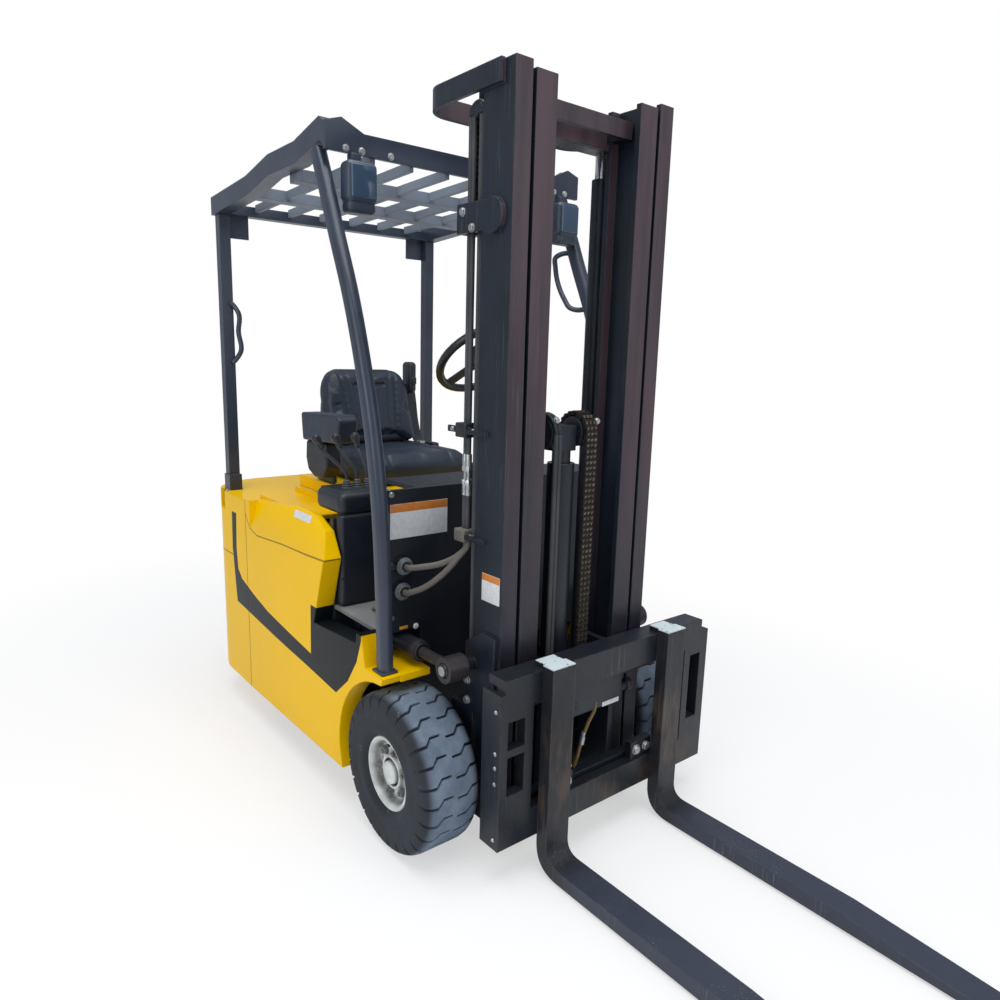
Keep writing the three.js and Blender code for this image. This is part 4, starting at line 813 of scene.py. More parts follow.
def dishedRim(name, node, outSign, body):
    # a flanged well, a disc with nuts, and a raised hub with a domed cap
    low, high = boxMm(node)
    centre = (low + high) / 2
    half = (high[1] - low[1]) / 2
    profile = [(0.01, 12), (92, 12), (93, -half + 8), (101, -half + 4), (104, -half + 0.2), (105.8, -half + 2),
               (105.8, half - 2), (104, half - 0.2), (96.5, half - 0.4), (93.5, half - 4), (92, half - 12),
               (89, half - 22), (85, half - 27), (79, half - 28), (51, half - 26), (49, half - 24),
               (48.5, half - 16), (47, half - 14), (41, half - 14), (39.5, half - 16), (39, half - 26),
               (33.5, half - 26), (33, half - 11), (31.5, half - 7), (27, half - 4.5), (12, half - 2.6),
               (0.01, half - 2.4)]
    out, circle, nuts = (0, outSign, 0), rimLook["boltCircle"], []
    for i in range(rimLook["bolts"]):
        angle = (i + 0.25) * 2 * math.pi / rimLook["bolts"]
        spot = centre + [circle * math.cos(angle), outSign * (half - rimLook["seat"]), circle * math.sin(angle)]
        nuts.append(hexHead(spot, out, rimLook["nut"], 13))
        nuts.append(turned([(0.01, 12), (6, 12), (6, 19), (4.5, 20), (0.01, 20)], spot, out, 16))
    makePiece(name + "_nuts", gather(*nuts), dullZinc, body)
    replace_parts(makePiece(name, turned(profile, centre, out, 72), rimPaint, body), node)
    stem = centre + [0, outSign * (half - 6), rimLook["valve"]]
    makePiece(name + "_valve", turned([(0.01, -24), (4, -24), (4, -4), (5, -4), (5, 3), (3.6, 4), (0.01, 4)],
                                      stem, out, 16), hoseRubber, body)


for side, sign in (("right", -1), ("left", 1)):
    dishedRim(f"frontRim_{side}", f"front_rim_{side}", sign, f"front_wheel_{side}")
print("wheels made")

# chains: leaf links along a line

chainLook = {"pitch": 15.875, "height": 13.0, "leaf": 2.0, "pin": 2.6, "sideHalf": 8.6, "centreHalf": 21.4}


def leafChain(path, halfWidth):
    # figure-eight plates between neighbouring pins, alternate rows one pitch along, with a pin at each joint
    path = np.asarray(path, float)
    run = np.r_[0, np.cumsum(np.linalg.norm(np.diff(path, axis=0), axis=1))]
    count = max(2, int(round(run[-1] / chainLook["pitch"])))
    stations = np.linspace(0, run[-1], count + 1)
    pins = np.stack([np.interp(stations, run, path[:, i]) for i in range(3)], 1)
    along = np.diff(pins, axis=0)
    pitch = np.linalg.norm(along, axis=1)
    along /= pitch[:, None]
    rows = int(2 * halfWidth // (chainLook["leaf"] + 0.25))
    offsets = (np.arange(rows) - (rows - 1) / 2) * (2 * halfWidth / rows)
    h = chainLook["height"] / 2
    end = np.linspace(-math.pi / 2, math.pi / 2, 5)
    outline = np.concatenate([
        np.stack([pitch[0] / 2 + h * 0.82 * np.cos(end), h * np.sin(end)], 1), [[0, h * 0.58]],
        np.stack([-pitch[0] / 2 - h * 0.82 * np.cos(end), h * np.sin(end[::-1])], 1), [[0, -h * 0.58]]])
    plate = prism(outline, 2, -chainLook["leaf"] / 2, chainLook["leaf"] / 2)
    matrices = []
    for row, offset in enumerate(offsets):
        for i in range(row % 2, count, 2):
            matrix = np.eye(4)
            middle = (pins[i] + pins[i + 1]) / 2 + [0, offset, 0]
            matrix[:3, :4] = np.stack([along[i], np.cross([0, 1, 0], along[i]), [0, 1, 0], middle], 1)
            matrices.append(matrix)
    r = chainLook["pin"]
    pin = turned([(0.01, -halfWidth), (r, -halfWidth), (r, halfWidth), (0.01, halfWidth)], (0, 0, 0), (0, 1, 0),
                 10)
    lift = np.tile(np.eye(4), (len(pins), 1, 1))
    lift[:, :3, 3] = pins
    return gather(moved(plate, matrices), moved(pin, lift))


def chainFall(name, node, halfWidth):
    # the fall hangs in the middle of its node, from near its bottom to its top
    low, high = boxMm(node)
    x, y = (low[0] + high[0]) / 2, (low[1] + high[1]) / 2
    path = [[x, y, low[2] + 8], [x, y, high[2]]]
    piece = makePiece(name, leafChain(path, halfWidth), chainSteel)
    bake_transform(piece)
    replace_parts(piece, node)


def chainLoop(name, rearNode, frontNode, y, halfWidth, body):
    # a half circle over the sheave, from the middle of the rear fall to the middle of the front fall
    rear, front = boxMm(rearNode), boxMm(frontNode)
    x, z = (rear[0][0] + front[1][0]) / 2, front[1][2]
    reach = (front[0][0] + front[1][0] - rear[0][0] - rear[1][0]) / 4
    angle = np.linspace(math.pi, 0, 25)
    path = np.stack([x + reach * np.cos(angle), np.full(25, float(y)), z + reach * np.sin(angle)], 1)
    makePiece(name, leafChain(path, halfWidth), chainSteel, body)


sheaveY = 246
for side, sign in (("right", -1), ("left", 1)):
    rear, front = f"side_chain_rear_{side}", f"side_chain_front_{side}"
    low, high = boxMm(rear)
    chainFall(f"sideChainRear_{side}", rear,
              chainLook["sideHalf"])
    low, high = boxMm(front)
    chainFall(f"sideChainFront_{side}", front,
              chainLook["sideHalf"])
    y = sign * sheaveY
    chainLoop(f"sideChainLoop_{side}", rear, front, y, chainLook["sideHalf"], "mast_middle")
    makePiece(f"chainAnchor_{side}", gather(
        softBox((low[0] - 1, y - 10, low[2] + 1), (high[0] + 1, y + 10, low[2] + 26), 3),
        turned([(0.01, -36), (6, -36), (6, 2), (0.01, 2)], ((low[0] + high[0]) / 2, y, low[2]), (0, 0, 1), 20),
    ), zincSteel, "mast_inner")
for name, node, holder in (("centreChainRear", "centre_chain_rear", "mast_inner"),
                           ("centreChainFront", "centre_chain_front", "carriage")):
    low, high = boxMm(node)
    chainFall(name, node, chainLook["centreHalf"])
chainLoop("centreChainLoop", "centre_chain_rear", "centre_chain_front", (low[1] + high[1]) / 2,
          chainLook["centreHalf"], "crosshead")
print("chains made")

# hoses

hoseLook = {"radius": 6.7, "inset": 6.9, "apart": 6.8, "supplyRadius": 8.9}


def hoseFall(name, node, places):
    # one straight hose at each (x, y), from the bottom to the top of its node
    low, high = boxMm(node)
    shapes = [tube([[x, y, low[2] + 1], [x, y, high[2] + 1.4]], hoseLook["radius"], 24, 14) for x, y in places]
    piece = makePiece(name, gather(*shapes), hoseRubber)
    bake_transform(piece)
    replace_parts(piece, node)


hoseLow, hoseHigh = boxMm("side_hose_rear")
hoseY = (hoseLow[1] + hoseHigh[1]) / 2
rearXs = (hoseLow[0] + hoseLook["inset"], hoseHigh[0] - hoseLook["inset"])
frontLow, frontHigh = boxMm("side_hose_front")
frontXs = (frontLow[0] + hoseLook["inset"], frontHigh[0] - hoseLook["inset"])
hoseFall("sideHoseRear", "side_hose_rear", [(x, hoseY) for x in rearXs])
hoseFall("sideHoseFront", "side_hose_front", [(x, hoseY) for x in frontXs])
for name, node, holder in (("centreHoseRear", "centre_hose_rear", "mast_inner"),
                           ("centreHoseFront", "centre_hose_front", "carriage")):
    low, high = boxMm(node)
    x, y = (low[0] + high[0]) / 2, (low[1] + high[1]) / 2
    hoseFall(name, node, [(x, y - hoseLook["apart"]), (x, y + hoseLook["apart"])])

supplyRoutes = [
    [[62, -266, 886], [62, -266, 872], [46, -280, 845], [8, -306, 815], [-40, -345, 797], [-68, -378, 793],
     [-84, -378, 793]],
    [[56, -266, 886], [56, -266, 870], [42, -286, 832], [6, -318, 776], [-42, -358, 731], [-68, -384, 720],
     [-84, -384, 720]],
]
supply = makePiece("supplyHoses", gather(
    *[tube(route, hoseLook["supplyRadius"], 56, 18) for route in supplyRoutes]), taupeHose)
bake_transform(supply)
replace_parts(supply, "supply_hoses")
for i, route in enumerate(supplyRoutes):
    _, y, z = route[-1]
    makePiece(f"hoseGrommet_{i}", turned(
        [(9.4, 4), (12, 4), (13.5, 10), (17, 13), (21, 11), (23, 5), (26, 3), (26, -0.5), (9.4, -0.5), (9.4, 4)],
        (-86, y, z), (1, 0, 0), 40), greyPlastic, "chassis")
print("hoses made")

# seat: padded shapes blown up as cloth, then sewn along their seams

seatLook = {"cap": 14, "voxel": 7, "seamAt": 128, "seamDepth": 6.0, "crossSeams": (-860, -735)}


def puffed(piece, cap):
    # cloth under air pressure: no point moves further than cap millimetres
    remesh = piece.modifiers.new("even", "REMESH")
    remesh.mode, remesh.voxel_size = "VOXEL", seatLook["voxel"] / 1000
    graph = bpy.context.evaluated_depsgraph_get()
    even = bpy.data.meshes.new_from_object(piece.evaluated_get(graph))
    piece.modifiers.clear()
    even.materials.clear()
    even.materials.append(piece.data.materials[0])
    piece.data = even
    start = vertexPlaces(even)
    air = piece.modifiers.new("air", "CLOTH")
    air.settings.use_pressure, air.settings.uniform_pressure_force = True, 4.0
    air.settings.effector_weights.gravity = 0
    for step in range(1, 21):
        bpy.context.scene.frame_set(step)
    blown = piece.evaluated_get(bpy.context.evaluated_depsgraph_get()).to_mesh()
    move = vertexPlaces(blown) - start
    length = np.linalg.norm(move, axis=1)[:, None]
    piece.modifiers.clear()
    share = np.minimum(1, cap / 1000 / np.maximum(length, 1e-9))
    even.vertices.foreach_set("co", (start + move * share).ravel())
    even.update()
    bpy.context.scene.frame_set(1)
    even.shade_smooth()


def reshaped(piece, formula):
    # moves every vertex by formula, which takes and gives millimetres
    mesh = piece.data
    places = vertexPlaces(mesh) * 1000 - [originX * 1000, 0, 0]
    mesh.vertices.foreach_set("co", atAll(formula(places)).ravel())
    mesh.update()


def valley(distance, width):  # a bell curve: e to the minus square of distance over width
    return np.exp(-(distance / width) ** 2)


def cushionForm(p):
    # bolsters rise at the sides, the front rolls down, seams sink in with small puckers
    x, y, z = p.T
    up = np.clip((z - 975) / 40, 0, 1)
    u, v = (x + 780) / 230, y / 225
    bolster = 9 * np.clip(np.abs(v) - 0.6, 0, 0.3) / 0.3 * (1 - 0.5 * np.clip(u, 0, 1))
    lift = bolster - 12 * np.clip(np.abs(u) - 0.7, 0, 1) ** 2 / 0.09
    seam = seatLook["seamDepth"] * valley(np.abs(y) - seatLook["seamAt"], 5)
    pucker = 1.1 * np.sin(x / 4.2) * valley(np.abs(y) - seatLook["seamAt"], 13)
    cross = sum(4.5 * valley(x - at0, 5) for at0 in seatLook["crossSeams"]) * (np.abs(y) < seatLook["seamAt"])
    side = 3.0 * valley(z - 962, 4) + 3.0 * valley(z - 1003, 4)
    z = np.minimum(z + up * (lift - seam - pucker - cross), 1042)
    y = y - np.sign(y) * (side + 4 * (1 - u**2)) * np.clip(np.abs(v) - 0.8, 0, 0.2) / 0.2
    x = np.clip(x - np.sign(u) * side * np.clip(np.abs(u) - 0.9, 0, 0.1) / 0.1, -1012, -549)
    return np.stack([x, y, np.maximum(z, 925.6)], 1)


def backForm(p):
    # sides wrap forward, the middle is hollow, two seams run up and a slot crosses near the top
    x, y, z = p.T
    front = np.clip((x - np.interp(z, [1032, 1150, 1325], [-975, -1000, -1025])) / 30, 0, 1)
    v = y / 198
    wrap = 22 * np.clip(np.abs(v) - 0.55, 0, 0.4) / 0.4 - 10 * (1 - v**2) * valley(z - 1170, 120)
    lean = 96 + 26 * np.clip((z - 1060) / 250, 0, 1)
    seam = 6 * valley(np.abs(y) - lean, 5) + 3.5 * valley(np.abs(y) - lean + 30, 4) * (z > 1080)
    slot = 12 * valley(z - 1262, 5) * (np.abs(np.abs(y) - 42) < 26)
    pucker = 1.0 * np.sin(z / 4.0) * valley(np.abs(y) - lean, 12)
    x = np.minimum(x + front * (wrap - seam - slot - pucker), -893)
    return np.stack([x, y, z], 1)


def slantedBlock(width):
    # a soft block whose front and back follow the seat back's lean and whose top corners round off
    points, faces = softBox((0, -width, 1034), (100, width, 1323), 32, 6, 34)
    x, y, z = points.T
    rear = np.interp(z, [1032, 1150, 1325], [-1004, -1040, -1046])
    front = np.interp(z, [1032, 1150, 1325], [-912, -938, -992])
    narrow = 1 - 0.2 * np.clip((z - 1225) / 100, 0, 1) ** 2.4
    return np.stack([rear + (front - rear) * x / 100, y * narrow, z], 1), faces


cushion = makePiece("seatCushion", softBox((-1002, -217, 926), (-560, 217, 1022), 36, 6, 44), seatVinyl, "hood",
                    smooth=180)
backrest = makePiece("seatBackrest", slantedBlock(190), seatVinyl, "hood", smooth=180)
for piece, form, node in ((cushion, cushionForm, "seat_cushion"), (backrest, backForm, "seat_backrest")):
    puffed(piece, seatLook["cap"])
    reshaped(piece, form)
    finer = piece.modifiers.new("finer", "SUBSURF")
    finer.levels = finer.render_levels = 1
    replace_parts(piece, node)
shellPoints, shellFaces = slantedBlock(176)
makePiece("seatBackShell", (shellPoints * [1, 0.93, 1] + [-9, 0, -4], shellFaces), blackPlastic, "hood",
          smooth=60)
beltLook = {"strap": 46, "thick": 3}
strapPath = smoothLine([[-1010, 212, 1262], [-1000, 216, 1200], [-985, 219, 1110], [-960, 219, 1048],
                        [-925, 212, 1024]], 30)
strapSection = np.array([[-1, -1], [1, -1], [1, 1], [-1, 1]]) * [beltLook["thick"] / 2, beltLook["strap"] / 2]
makePiece("beltStrap", swept(strapPath, strapSection), blackPlastic, "hood")
makePiece("beltGuide", gather(
    softBox((-1042, 194, 1226), (-972, 228, 1352), 16, 5), softBox((-975, 203, 1262), (-966, 222, 1290), 4)),
    blackPlastic, "hood", smooth=60)
makePiece("beltBuckle", gather(
    softBox((-940, 196, 1012), (-893, 226, 1036), 5), softBox((-897, 202, 1018), (-872, 220, 1030), 3)),
    zincSteel, "hood")
makePiece("beltSocket", softBox((-872, 195, 1008), (-800, 226, 1040), 9), blackPlastic, "hood")
print("seat made")

# controls beside the seat

armrest = [
    prism([(-850, 1074), (-580, 1084), (-565, 1165), (-590, 1180), (-860, 1172)], 1, -334, -262),
    prism([(-857, 1010), (-840, 965), (-790, 945), (-720, 950), (-690, 990), (-700, 1073), (-850, 1073)],
          1, -320, -262),
    prism([(-850, 926), (-720, 926), (-720, 960), (-850, 960)], 1, -282, -263),
]
for name, shape, material in zip(("armrestPad", "armrestHousing", "armrestFoot"), armrest,
                                 (seatVinyl, blackPlastic, blackPlastic)):
    armPiece = makePiece(name, shape, material, "hood", bevel=9)
    armPiece.modifiers["edge"].segments = 4
    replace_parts(armPiece, "armrest_box")

leverLook = {"stem": 6, "knob": 14.5, "feet": (-370, -333, -296), "tops": (-441, -375, -309)}
consoleParts = [
    softBox((-403.7, -434, 600.5), (-365, -300, 894), 14, 5),
    softBox((-540, -434, 891.5), (-365, -292, 962), 24, 6),
    softBox((-520, -424, 955), (-380, -302, 965), 4, 3),
    softBox((-402, -434.6, 690), (-366.5, -300, 700), 3, 2),
]
console = makePiece("leverConsole", gather(*consoleParts), blackPlastic, "chassis", smooth=50)
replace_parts(console, "lever_console")
k = leverLook["knob"]
knob = [(0.01, -30), (6, -30), (7, -27), (8.5, -14), (k * 0.9, -2), (k, 8), (k * 0.9, 15), (k * 0.55, 19),
        (0.01, 20)]
boot = [(0.01, 0), (17, 0), (17.5, 3), (14, 6), (15.5, 10), (12, 13), (13.5, 17), (10, 20), (11, 24), (7, 28),
        (0.01, 28)]
for i, (foot, top) in enumerate(zip(leverLook["feet"], leverLook["tops"])):
    base, end = np.array([-445.0, foot, 962]), np.array([-500.0, top, 1118])
    route = [base, base + [-2, 0, 45], (base + end) / 2 + [2, 0, 14], end + [2, 0, -18], end]
    makePiece(f"leverStem_{i}", tube(route, leverLook["stem"], 32, 14), blackPlastic, "chassis", smooth=60)
    makePiece(f"leverKnob_{i}", turned(knob, end + [0, 0, -6], end - route[2], 28), wheelPlastic, "chassis",
              smooth=70)
    makePiece(f"leverBoot_{i}", turned(boot, base, (0, 0, 1), 28), hoseRubber, "chassis", smooth=50)
print("controls made")

# lamps under the roof's front corners

lampLook = {"shellRadius": 18, "dark": (0.04, 0.07, 0.115, 1), "light": (0.1, 0.16, 0.25, 1)}
# painted sky reflection: the opaque lens gets a bluish colour in light and dark rib bands
lensClear, tree, shader = newMaterial("lampLens")
ribs = addNode(tree, "ShaderNodeTexWave", {"Vector": objectPlace(tree), "Scale": 60.0}).outputs["Fac"]
finishShader(tree, shader, blendColour(tree, ribs, lampLook["dark"], lampLook["light"]), 0.1, 0.0, ribs, 0.5,
             0.001)
for side, sign in (("right", -1), ("left", 1)):
    low, high = boxMm(f"work_lamp_{side}")
    shell = makePiece(f"workLamp_{side}", gather(
        softBox((-334, low[1] + 1, 1790), (-276, high[1] - 1, 1904), lampLook["shellRadius"], 6),
        softBox((-331, low[1] + 6, 1766), (-281, high[1] - 6, 1800), 12, 4),
        softBox((-346, low[1] + 34, 1880), (-316, high[1] - 34, 1929), 3, 3)), lampPlastic, "chassis", smooth=60)
    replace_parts(shell, f"work_lamp_{side}")
    makePiece(f"lampFace_{side}", softBox((-280, low[1] + 12, 1806), (-273.5, high[1] - 12, 1892), 6, 4),
              lensClear, "chassis")
    innerY = low[1] if sign > 0 else high[1]
    makePiece(f"lampPivot_{side}", hexHead((-322, innerY, 1883), (0, -sign, 0), 13, 6), zincSteel, "chassis")

# bolts, pins and glands

boltSets = {
    "roofBolts": ("chassis", (1, 0, 0), 16, 6, [
        (-335.4, y * sign, z) for sign in (-1, 1) for y, z in ((417, 1941), (367, 1941), (273, 1943))]),
    "frameBolts": ("sideshift", (1, 0, 0), 24, 8.4, [(321.6, y, 224) for y in (-142, -98, 191, 235)]),
    "frameEdgeBolts": ("sideshift", (0, -1, 0), 9, 3.5, [(312, -352, z) for z in (500, 385, 345, 300, 140)]),
    "frameEdgeBoltsFar": ("sideshift", (0, 1, 0), 9, 1.6, [(312, 498, z) for z in (480, 385, 300, 140)]),
    "crossheadBolts": ("crosshead", (1, 0, 0), 15, 7, [(213, -92, 1222), (213, 62, 1215), (213, -92, 1150)]),
}
mirroredBolts = {
    "anchorBolts": ("mast_outer", 17, 7, [(52, 293.1, 1742), (92, 293.1, 1700)]),
    "hingeBolts": ("mast_outer", 20, 8, [(110, 293.2, 440), (110, 293.2, 500)]),
    "legBolts": ("chassis", 17, 6, [(-1236, 476.2, 800), (-1236, 476.2, 838)]),
}
for name, (body, across, height, places) in mirroredBolts.items():
    for side, sign in (("Right", -1), ("Left", 1)):
        boltSets[name + side] = (body, (0, sign, 0), across, height, [(x, sign * y, z) for x, y, z in places])
boltSets["cowlBolts"] = ("chassis", (1, 0, 0), 13, 5, [(-99.8, y, z) for y in (-412, 412) for z in (640, 1000)])
boltSets["cowlTopBolts"] = ("chassis", (0, 0, 1), 11, 4, [(-108, y, 1012.2) for y in (-414, 414)])
for name, (body, direction, across, height, places) in boltSets.items():
    makePiece(name, gather(*[hexHead(p, direction, across, height) for p in places]), zincSteel, body)
for side, sign in (("right", -1), ("left", 1)):
    start, end = np.array([-330.0, sign * 361, 548]), np.array([132.0, sign * 361, 558])
    along = (end - start) / np.linalg.norm(end - start)
    mouth = start + along * 310
    makePiece(f"tiltGland_{side}", turned(
        [(19.5, 4), (24, 4), (25, 2), (25, -5), (30.2, -6), (31, -8), (31, -24), (30.2, -26), (19.5, -26),
         (19.5, 4)], mouth, along, 40), darkSteel, f"tilt_barrel_{side}")
    makePiece(f"tiltPin_{side}", gather(
        turned([(0.01, -1), (15, -1), (15, 5), (13, 7), (0.01, 7)], (132, sign * 392, 558), (0, sign, 0), 32),
        turned([(0.01, -3), (18, -3), (18, 1.5), (0.01, 1.5)], (132, sign * 392, 558), (0, sign, 0), 32)),
        zincSteel, f"tilt_rod_{side}")
    makePiece(f"tiltHose_{side}", gather(
        tube([(-300, sign * 361, 578), (-296, sign * 361, 600), (-280, sign * 366, 612), (-230, sign * 372, 606),
              (-190, sign * 374, 590)], 6, 40, 12),
        turned([(0.01, -4), (8, -4), (9, 0), (9, 12), (7, 14), (0.01, 14)], (-300, sign * 361, 574), (0, 0, 1),
               18)), brassHose, f"tilt_barrel_{side}")

# hose fittings, clamps and plates

crimp = [(0.01, 0), (8.6, 0), (9.4, 2), (9.4, 9), (8.7, 10), (9.4, 11), (9.4, 26), (8.7, 27), (9.4, 28), (9.4, 38),
         (7.5, 40), (7.5, 44), (5.5, 44), (5.5, 66), (7.5, 66), (7.5, 70), (9.4, 72), (9.4, 82), (8.7, 83),
         (9.4, 84), (9.4, 112), (8.4, 114), (0.01, 114)]
hexSleeve = hexHead((0, 0, 0), (0, 0, 1), 19, 14, washer=False)
fittings = []
for x in rearXs:
    fittings += [turned(crimp, (x, hoseY, 1010), (0, 0, 1), 24)]
    fittings += [moved(hexSleeve, [frameTo((x, hoseY, z), (0, 0, 1))]) for z in (1040, 1078)]
fittingPiece = makePiece("hoseFittings", gather(*fittings), zincSteel, "mast_outer")
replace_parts(fittingPiece, "hose_fittings")
makePiece("hoseRises", gather(
    *[tube([(x, hoseY, 886), (x, hoseY, 940), (x, hoseY, 1012)], 7.6, 20, 16) for x in rearXs],
    *[tube([(x, hoseY, 1122), (x, hoseY, 1174)], 6.9, 8, 16) for x in rearXs]), hoseRubber, "mast_outer")
makePiece("hoseClampLow", gather(softBox((29, -292, 883), (76, -251, 918), 5, 4),
                                 softBox((74, -276, 893), (96, -268, 906), 3)), taupeHose, "mast_outer")
makePiece("hoseClampHigh", gather(
    softBox((29, -292, 1170), (76, -252, 1209), 4, 3), softBox((-22, -281, 1180), (32, -273, 1198), 3),
    softBox((74, -281, 1180), (114, -273, 1198), 3)), blackPlastic, "mast_outer")
makePiece("hoseClampBolts", gather(
    hexHead((4, -281, 1189), (0, -1, 0), 11, 5), hexHead((96, -281, 1189), (0, -1, 0), 11, 5),
    hexHead((86, -276, 899), (0, -1, 0), 11, 5)), zincSteel, "mast_outer")
makePiece("cowlPlate", softBox((-100.2, -417, 872), (-99, -223, 972), 0.6, 2), labelWhite, "chassis")
makePiece("cowlPlateBand", softBox((-100.1, -416.6, 948), (-98.7, -223.4, 971.6), 0.6, 2), labelOrange,
          "chassis")
makePiece("cowlKnob", turned([(0.01, -1), (5, -1), (5, 2), (8, 3), (9.5, 6), (8.5, 9), (5, 11), (0.01, 12)],
                             (-100, -334, 603), (1, 0, 0), 28), knobWhite, "chassis", smooth=60)
makePiece("cowlMarker", softBox((-100.2, -386, 600), (-98, -358, 609), 1, 2), amberMarker, "chassis")
makePiece("cowlPlug", turned([(0.01, 0), (14, 0), (14, 8), (10, 10), (10, 14), (0.01, 14)], (-100, -414, 794),
                             (1, 0, 0), 24), blackPlastic, "chassis")
makePiece("mastPlate", softBox((150, -282.3, 742), (226, -280.9, 818), 0.6, 2), labelWhite, "mast_outer")
makePiece("mastPlateBand", softBox((150.4, -282.6, 799), (225.6, -281, 817.6), 0.6, 2), labelOrange,
          "mast_outer")
slope = np.array([0, -129, 45]) / math.hypot(129, 45)
facetRows = [[(x, -500 + (z - 752) * 45 / 129, z) for x in (-636, -512)] for z in (846, 870)]
ridge = np.array([facetRows[0][0], facetRows[0][1], facetRows[1][1], facetRows[1][0]])
ridgeFaces = gridFaces(2, 4, wrapCols=True).tolist() + [[3, 2, 1, 0], [4, 5, 6, 7]]
ridgeSolid = np.concatenate([ridge - slope, ridge + slope * 0.8]), ridgeFaces
makePiece("ridgePlate", ridgeSolid, labelWhite, "chassis")

# guard legs: a rounded tube bent along the leg's line

legLook = {"depth": 49.4, "width": 39.4, "corner": 17}


def roundedTube(width, depth, corner, steps=5):
    # a rectangle's outline with quarter circles at its corners
    turn = np.linspace(0, math.pi / 2, steps + 1)
    quarters = [turn + k * math.pi / 2 for k in range(4)]
    signs = [(1, 1), (-1, 1), (-1, -1), (1, -1)]
    return np.concatenate([
        np.stack([sx * (width / 2 - corner) + corner * np.cos(quarter),
                  sy * (depth / 2 - corner) + corner * np.sin(quarter)], 1)
        for (sx, sy), quarter in zip(signs, quarters)])


legLine = [(-46.5, 511), (-54, 720), (-77, 1000), (-108, 1170), (-158, 1350), (-228, 1545), (-300, 1700),
           (-372, 1862), (-408, 1938)]
legSection = roundedTube(legLook["depth"], legLook["width"], legLook["corner"])
for side, sign in (("right", -1), ("left", 1)):
    line = smoothLine([(x, sign * 465, z) for x, z in legLine], 70)
    leg = makePiece(f"guardLeg_{side}", swept(line, legSection), guardPaint, "chassis", smooth=50)
    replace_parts(leg, f"guard_leg_front_{side}")
    makePiece(f"legFoot_{side}", gather(
        softBox((-76, sign * 465 - 26, 510.4), (-18, sign * 465 + 26, 518), 3, 3),
        hexHead((-92, sign * 452, 510.2), (0, 0, 1), 15, 7)), guardPaint, "chassis")

# grab handles and the sideshift's hose

frontHandle = [(-345, 462, 1752), (-368, 446, 1748), (-388, 436, 1736), (-382, 432, 1700), (-330, 432, 1590),
               (-306, 438, 1560), (-276, 452, 1552), (-250, 462, 1556)]
handleRoutes = {
    "handleRearRight": [(-1220, -440, 1556), (-1212, -428, 1540), (-1202, -418, 1516), (-1205, -420, 1450),
                        (-1200, -416, 1376), (-1212, -428, 1350), (-1220, -440, 1334)],
    "handleFrontLeft": frontHandle,
    "handleFrontRight": [(x, -y, z) for x, y, z in frontHandle],
}
for name, route in handleRoutes.items():
    makePiece(name, tube(route, 9, 60, 16), guardPaint, "chassis", smooth=60)
shiftRoute = [(286, 40, 414), (290, 34, 392), (288, 10, 350), (284, -8, 300), (276, -14, 250), (262, -16, 205)]
makePiece("shiftHose", tube(shiftRoute, 5.5, 50, 12), brassHose, "carriage")
hoseEnd = [(0.01, 0), (8, 0), (8, 22), (6.5, 24), (6.5, 40), (0.01, 40)]
makePiece("shiftHoseEnd", turned(hoseEnd, (284, -8, 290), (0.12, 0.06, 1), 20), zincSteel, "carriage")
makePiece("shiftGlands", gather(*[turned(
    [(10, -2), (17.5, -2), (18, 0), (18, 18), (17.5, 20), (10, 20), (10, -2)], (277, y, 424), (0, 1, 0), 32)
    for y in (-60, 172)]), darkSteel, "carriage")
makePiece("shiftTag", softBox((291.6, 62, 388), (292.8, 132, 402), 0.5, 2), labelWhite, "carriage")
print("details made")

# camera, floor and light

camera = bpy.data.objects.new("camera", bpy.data.cameras.new("camera"))
bpy.context.scene.collection.objects.link(camera)
bpy.context.scene.camera = camera
view = {"place": (1681.3, -1469.5, 1389.2), "azimuth": 50.94, "down": 10.91, "roll": -1.536, "lens": 27.063}
azimuth, down, roll = (math.radians(view[k]) for k in ("azimuth", "down", "roll"))
forward = np.array([-math.sin(azimuth) * math.cos(down), math.cos(azimuth) * math.cos(down), -math.sin(down)])
right = np.array([math.cos(azimuth), math.sin(azimuth), 0.0])
below = np.cross(forward, right)
imageRight = right * math.cos(roll) + below * math.sin(roll)
imageUp = right * math.sin(roll) - below * math.cos(roll)
pose = np.eye(4)
pose[:3, :4] = np.stack([imageRight, imageUp, -forward, at(*view["place"])], 1)
camera.matrix_world = Matrix(pose.tolist())
camera.data.lens, camera.data.sensor_width = view["lens"], 36
camera.data.clip_start, camera.data.clip_end = 0.02, 100

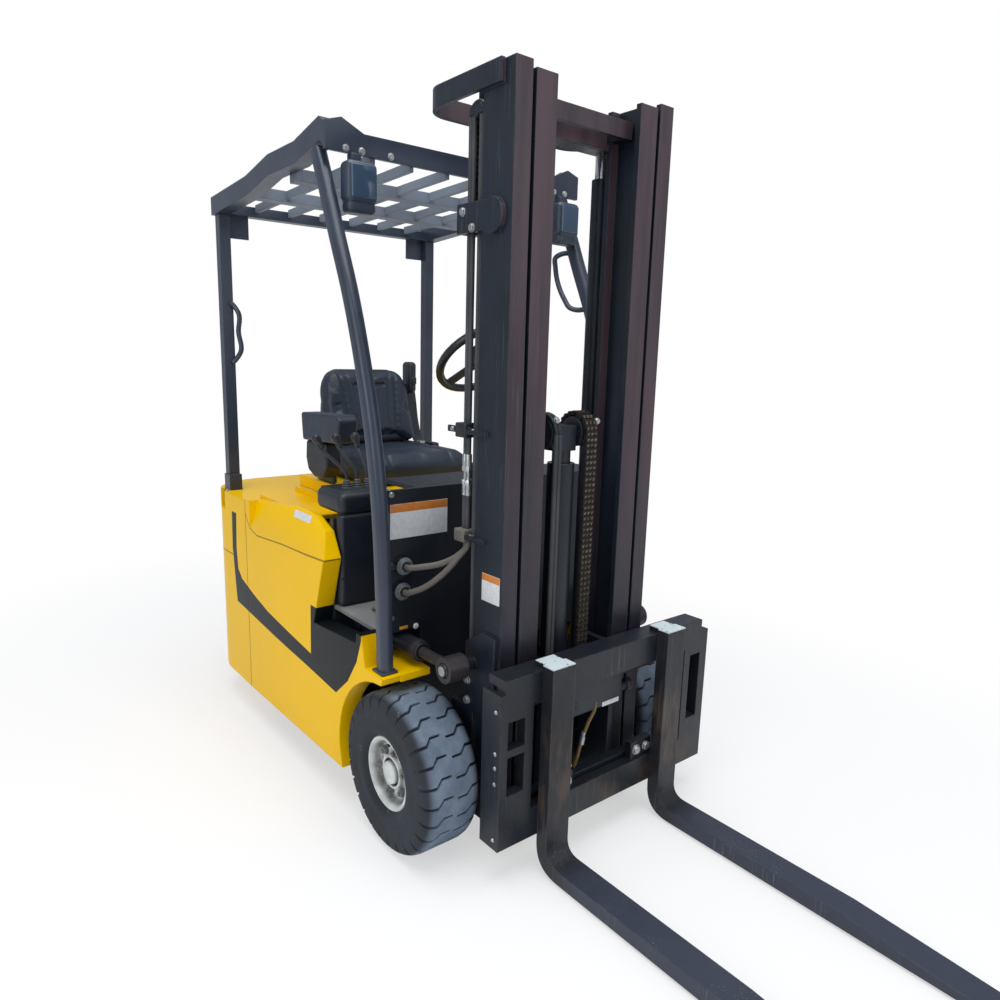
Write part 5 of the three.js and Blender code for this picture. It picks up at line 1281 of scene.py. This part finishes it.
floorMaterial, tree, shader = newMaterial("paleFloor")
place = objectPlace(tree)
shader.inputs["Base Color"].default_value = (0.9, 0.9, 0.9, 1)
shader.inputs["Roughness"].default_value = 0.9
shader.inputs["Specular IOR Level"].default_value = 0.1
distance = addNode(tree, "ShaderNodeVectorMath", {0: place, 1: (0.9, 1.4, 1.0)}, operation="MULTIPLY").outputs[0]
reach = addNode(tree, "ShaderNodeVectorMath", {0: distance}, operation="LENGTH").outputs["Value"]
path = addNode(tree, "ShaderNodeLightPath")
mirrored = calc(tree, "MULTIPLY", path.outputs["Is Glossy Ray"], 0.35)
seen = calc(tree, "MAXIMUM", path.outputs["Is Camera Ray"], mirrored)
seen = calc(tree, "MAXIMUM", seen, path.outputs["Is Transmission Ray"])
white = addNode(tree, "ShaderNodeEmission", {"Color": (1, 1, 1, 1), "Strength": 1.0})
fade = calc(tree, "MULTIPLY", seen, calc(tree, "MULTIPLY_ADD", spread(tree, reach, 1.5, 3.4), 0.45, 0.55))
mix = addNode(tree, "ShaderNodeMixShader", {0: fade, 1: shader.outputs[0], 2: white.outputs[0]})
tree.links.new(mix.outputs[0], tree.nodes["Material Output"].inputs["Surface"])
angle = np.linspace(0, 2 * math.pi, 65)[:-1]
floorPoints = np.stack([14 * np.cos(angle), 14 * np.sin(angle), np.zeros(64)], 1)
floorMesh = bpy.data.meshes.new("floor")
floorMesh.from_pydata(floorPoints.tolist(), [], [list(range(64))])
floorMesh.materials.append(floorMaterial)
floor = bpy.data.objects.new("floor", floorMesh)
bpy.context.scene.collection.objects.link(floor)

world = bpy.data.worlds.new("studio")
bpy.context.scene.world = world
world.use_nodes = True
tree = world.node_tree
path = addNode(tree, "ShaderNodeLightPath")
seen = calc(tree, "MAXIMUM", path.outputs["Is Camera Ray"], path.outputs["Is Transmission Ray"])
worldColour = blendColour(tree, seen, (0.42, 0.45, 0.5, 1), (1, 1, 1, 1))
tree.links.new(worldColour, tree.nodes["Background"].inputs["Color"])


def softLight(name, place, target, size, power):
    # a round lamp of size metres that faces its target
    lamp = bpy.data.lights.new(name, "AREA")
    lamp.shape, lamp.size, lamp.energy = "DISK", size, power
    holder = bpy.data.objects.new(name, lamp)
    bpy.context.scene.collection.objects.link(holder)
    holder.matrix_world = Matrix(frameTo(place, np.subtract(place, target)).tolist())


softLight("skyLight", (0.4, -0.6, 5.0), (0, 0, 0.8), 4.5, 190)
softLight("rightLight", (1.2, -4.6, 2.6), (0, 0, 0.9), 3.0, 52)
softLight("frontLight", (4.8, 1.6, 2.8), (0, 0, 1.2), 3.0, 34)
bpy.context.scene.view_settings.view_transform = "Standard"
print("camera and light set")
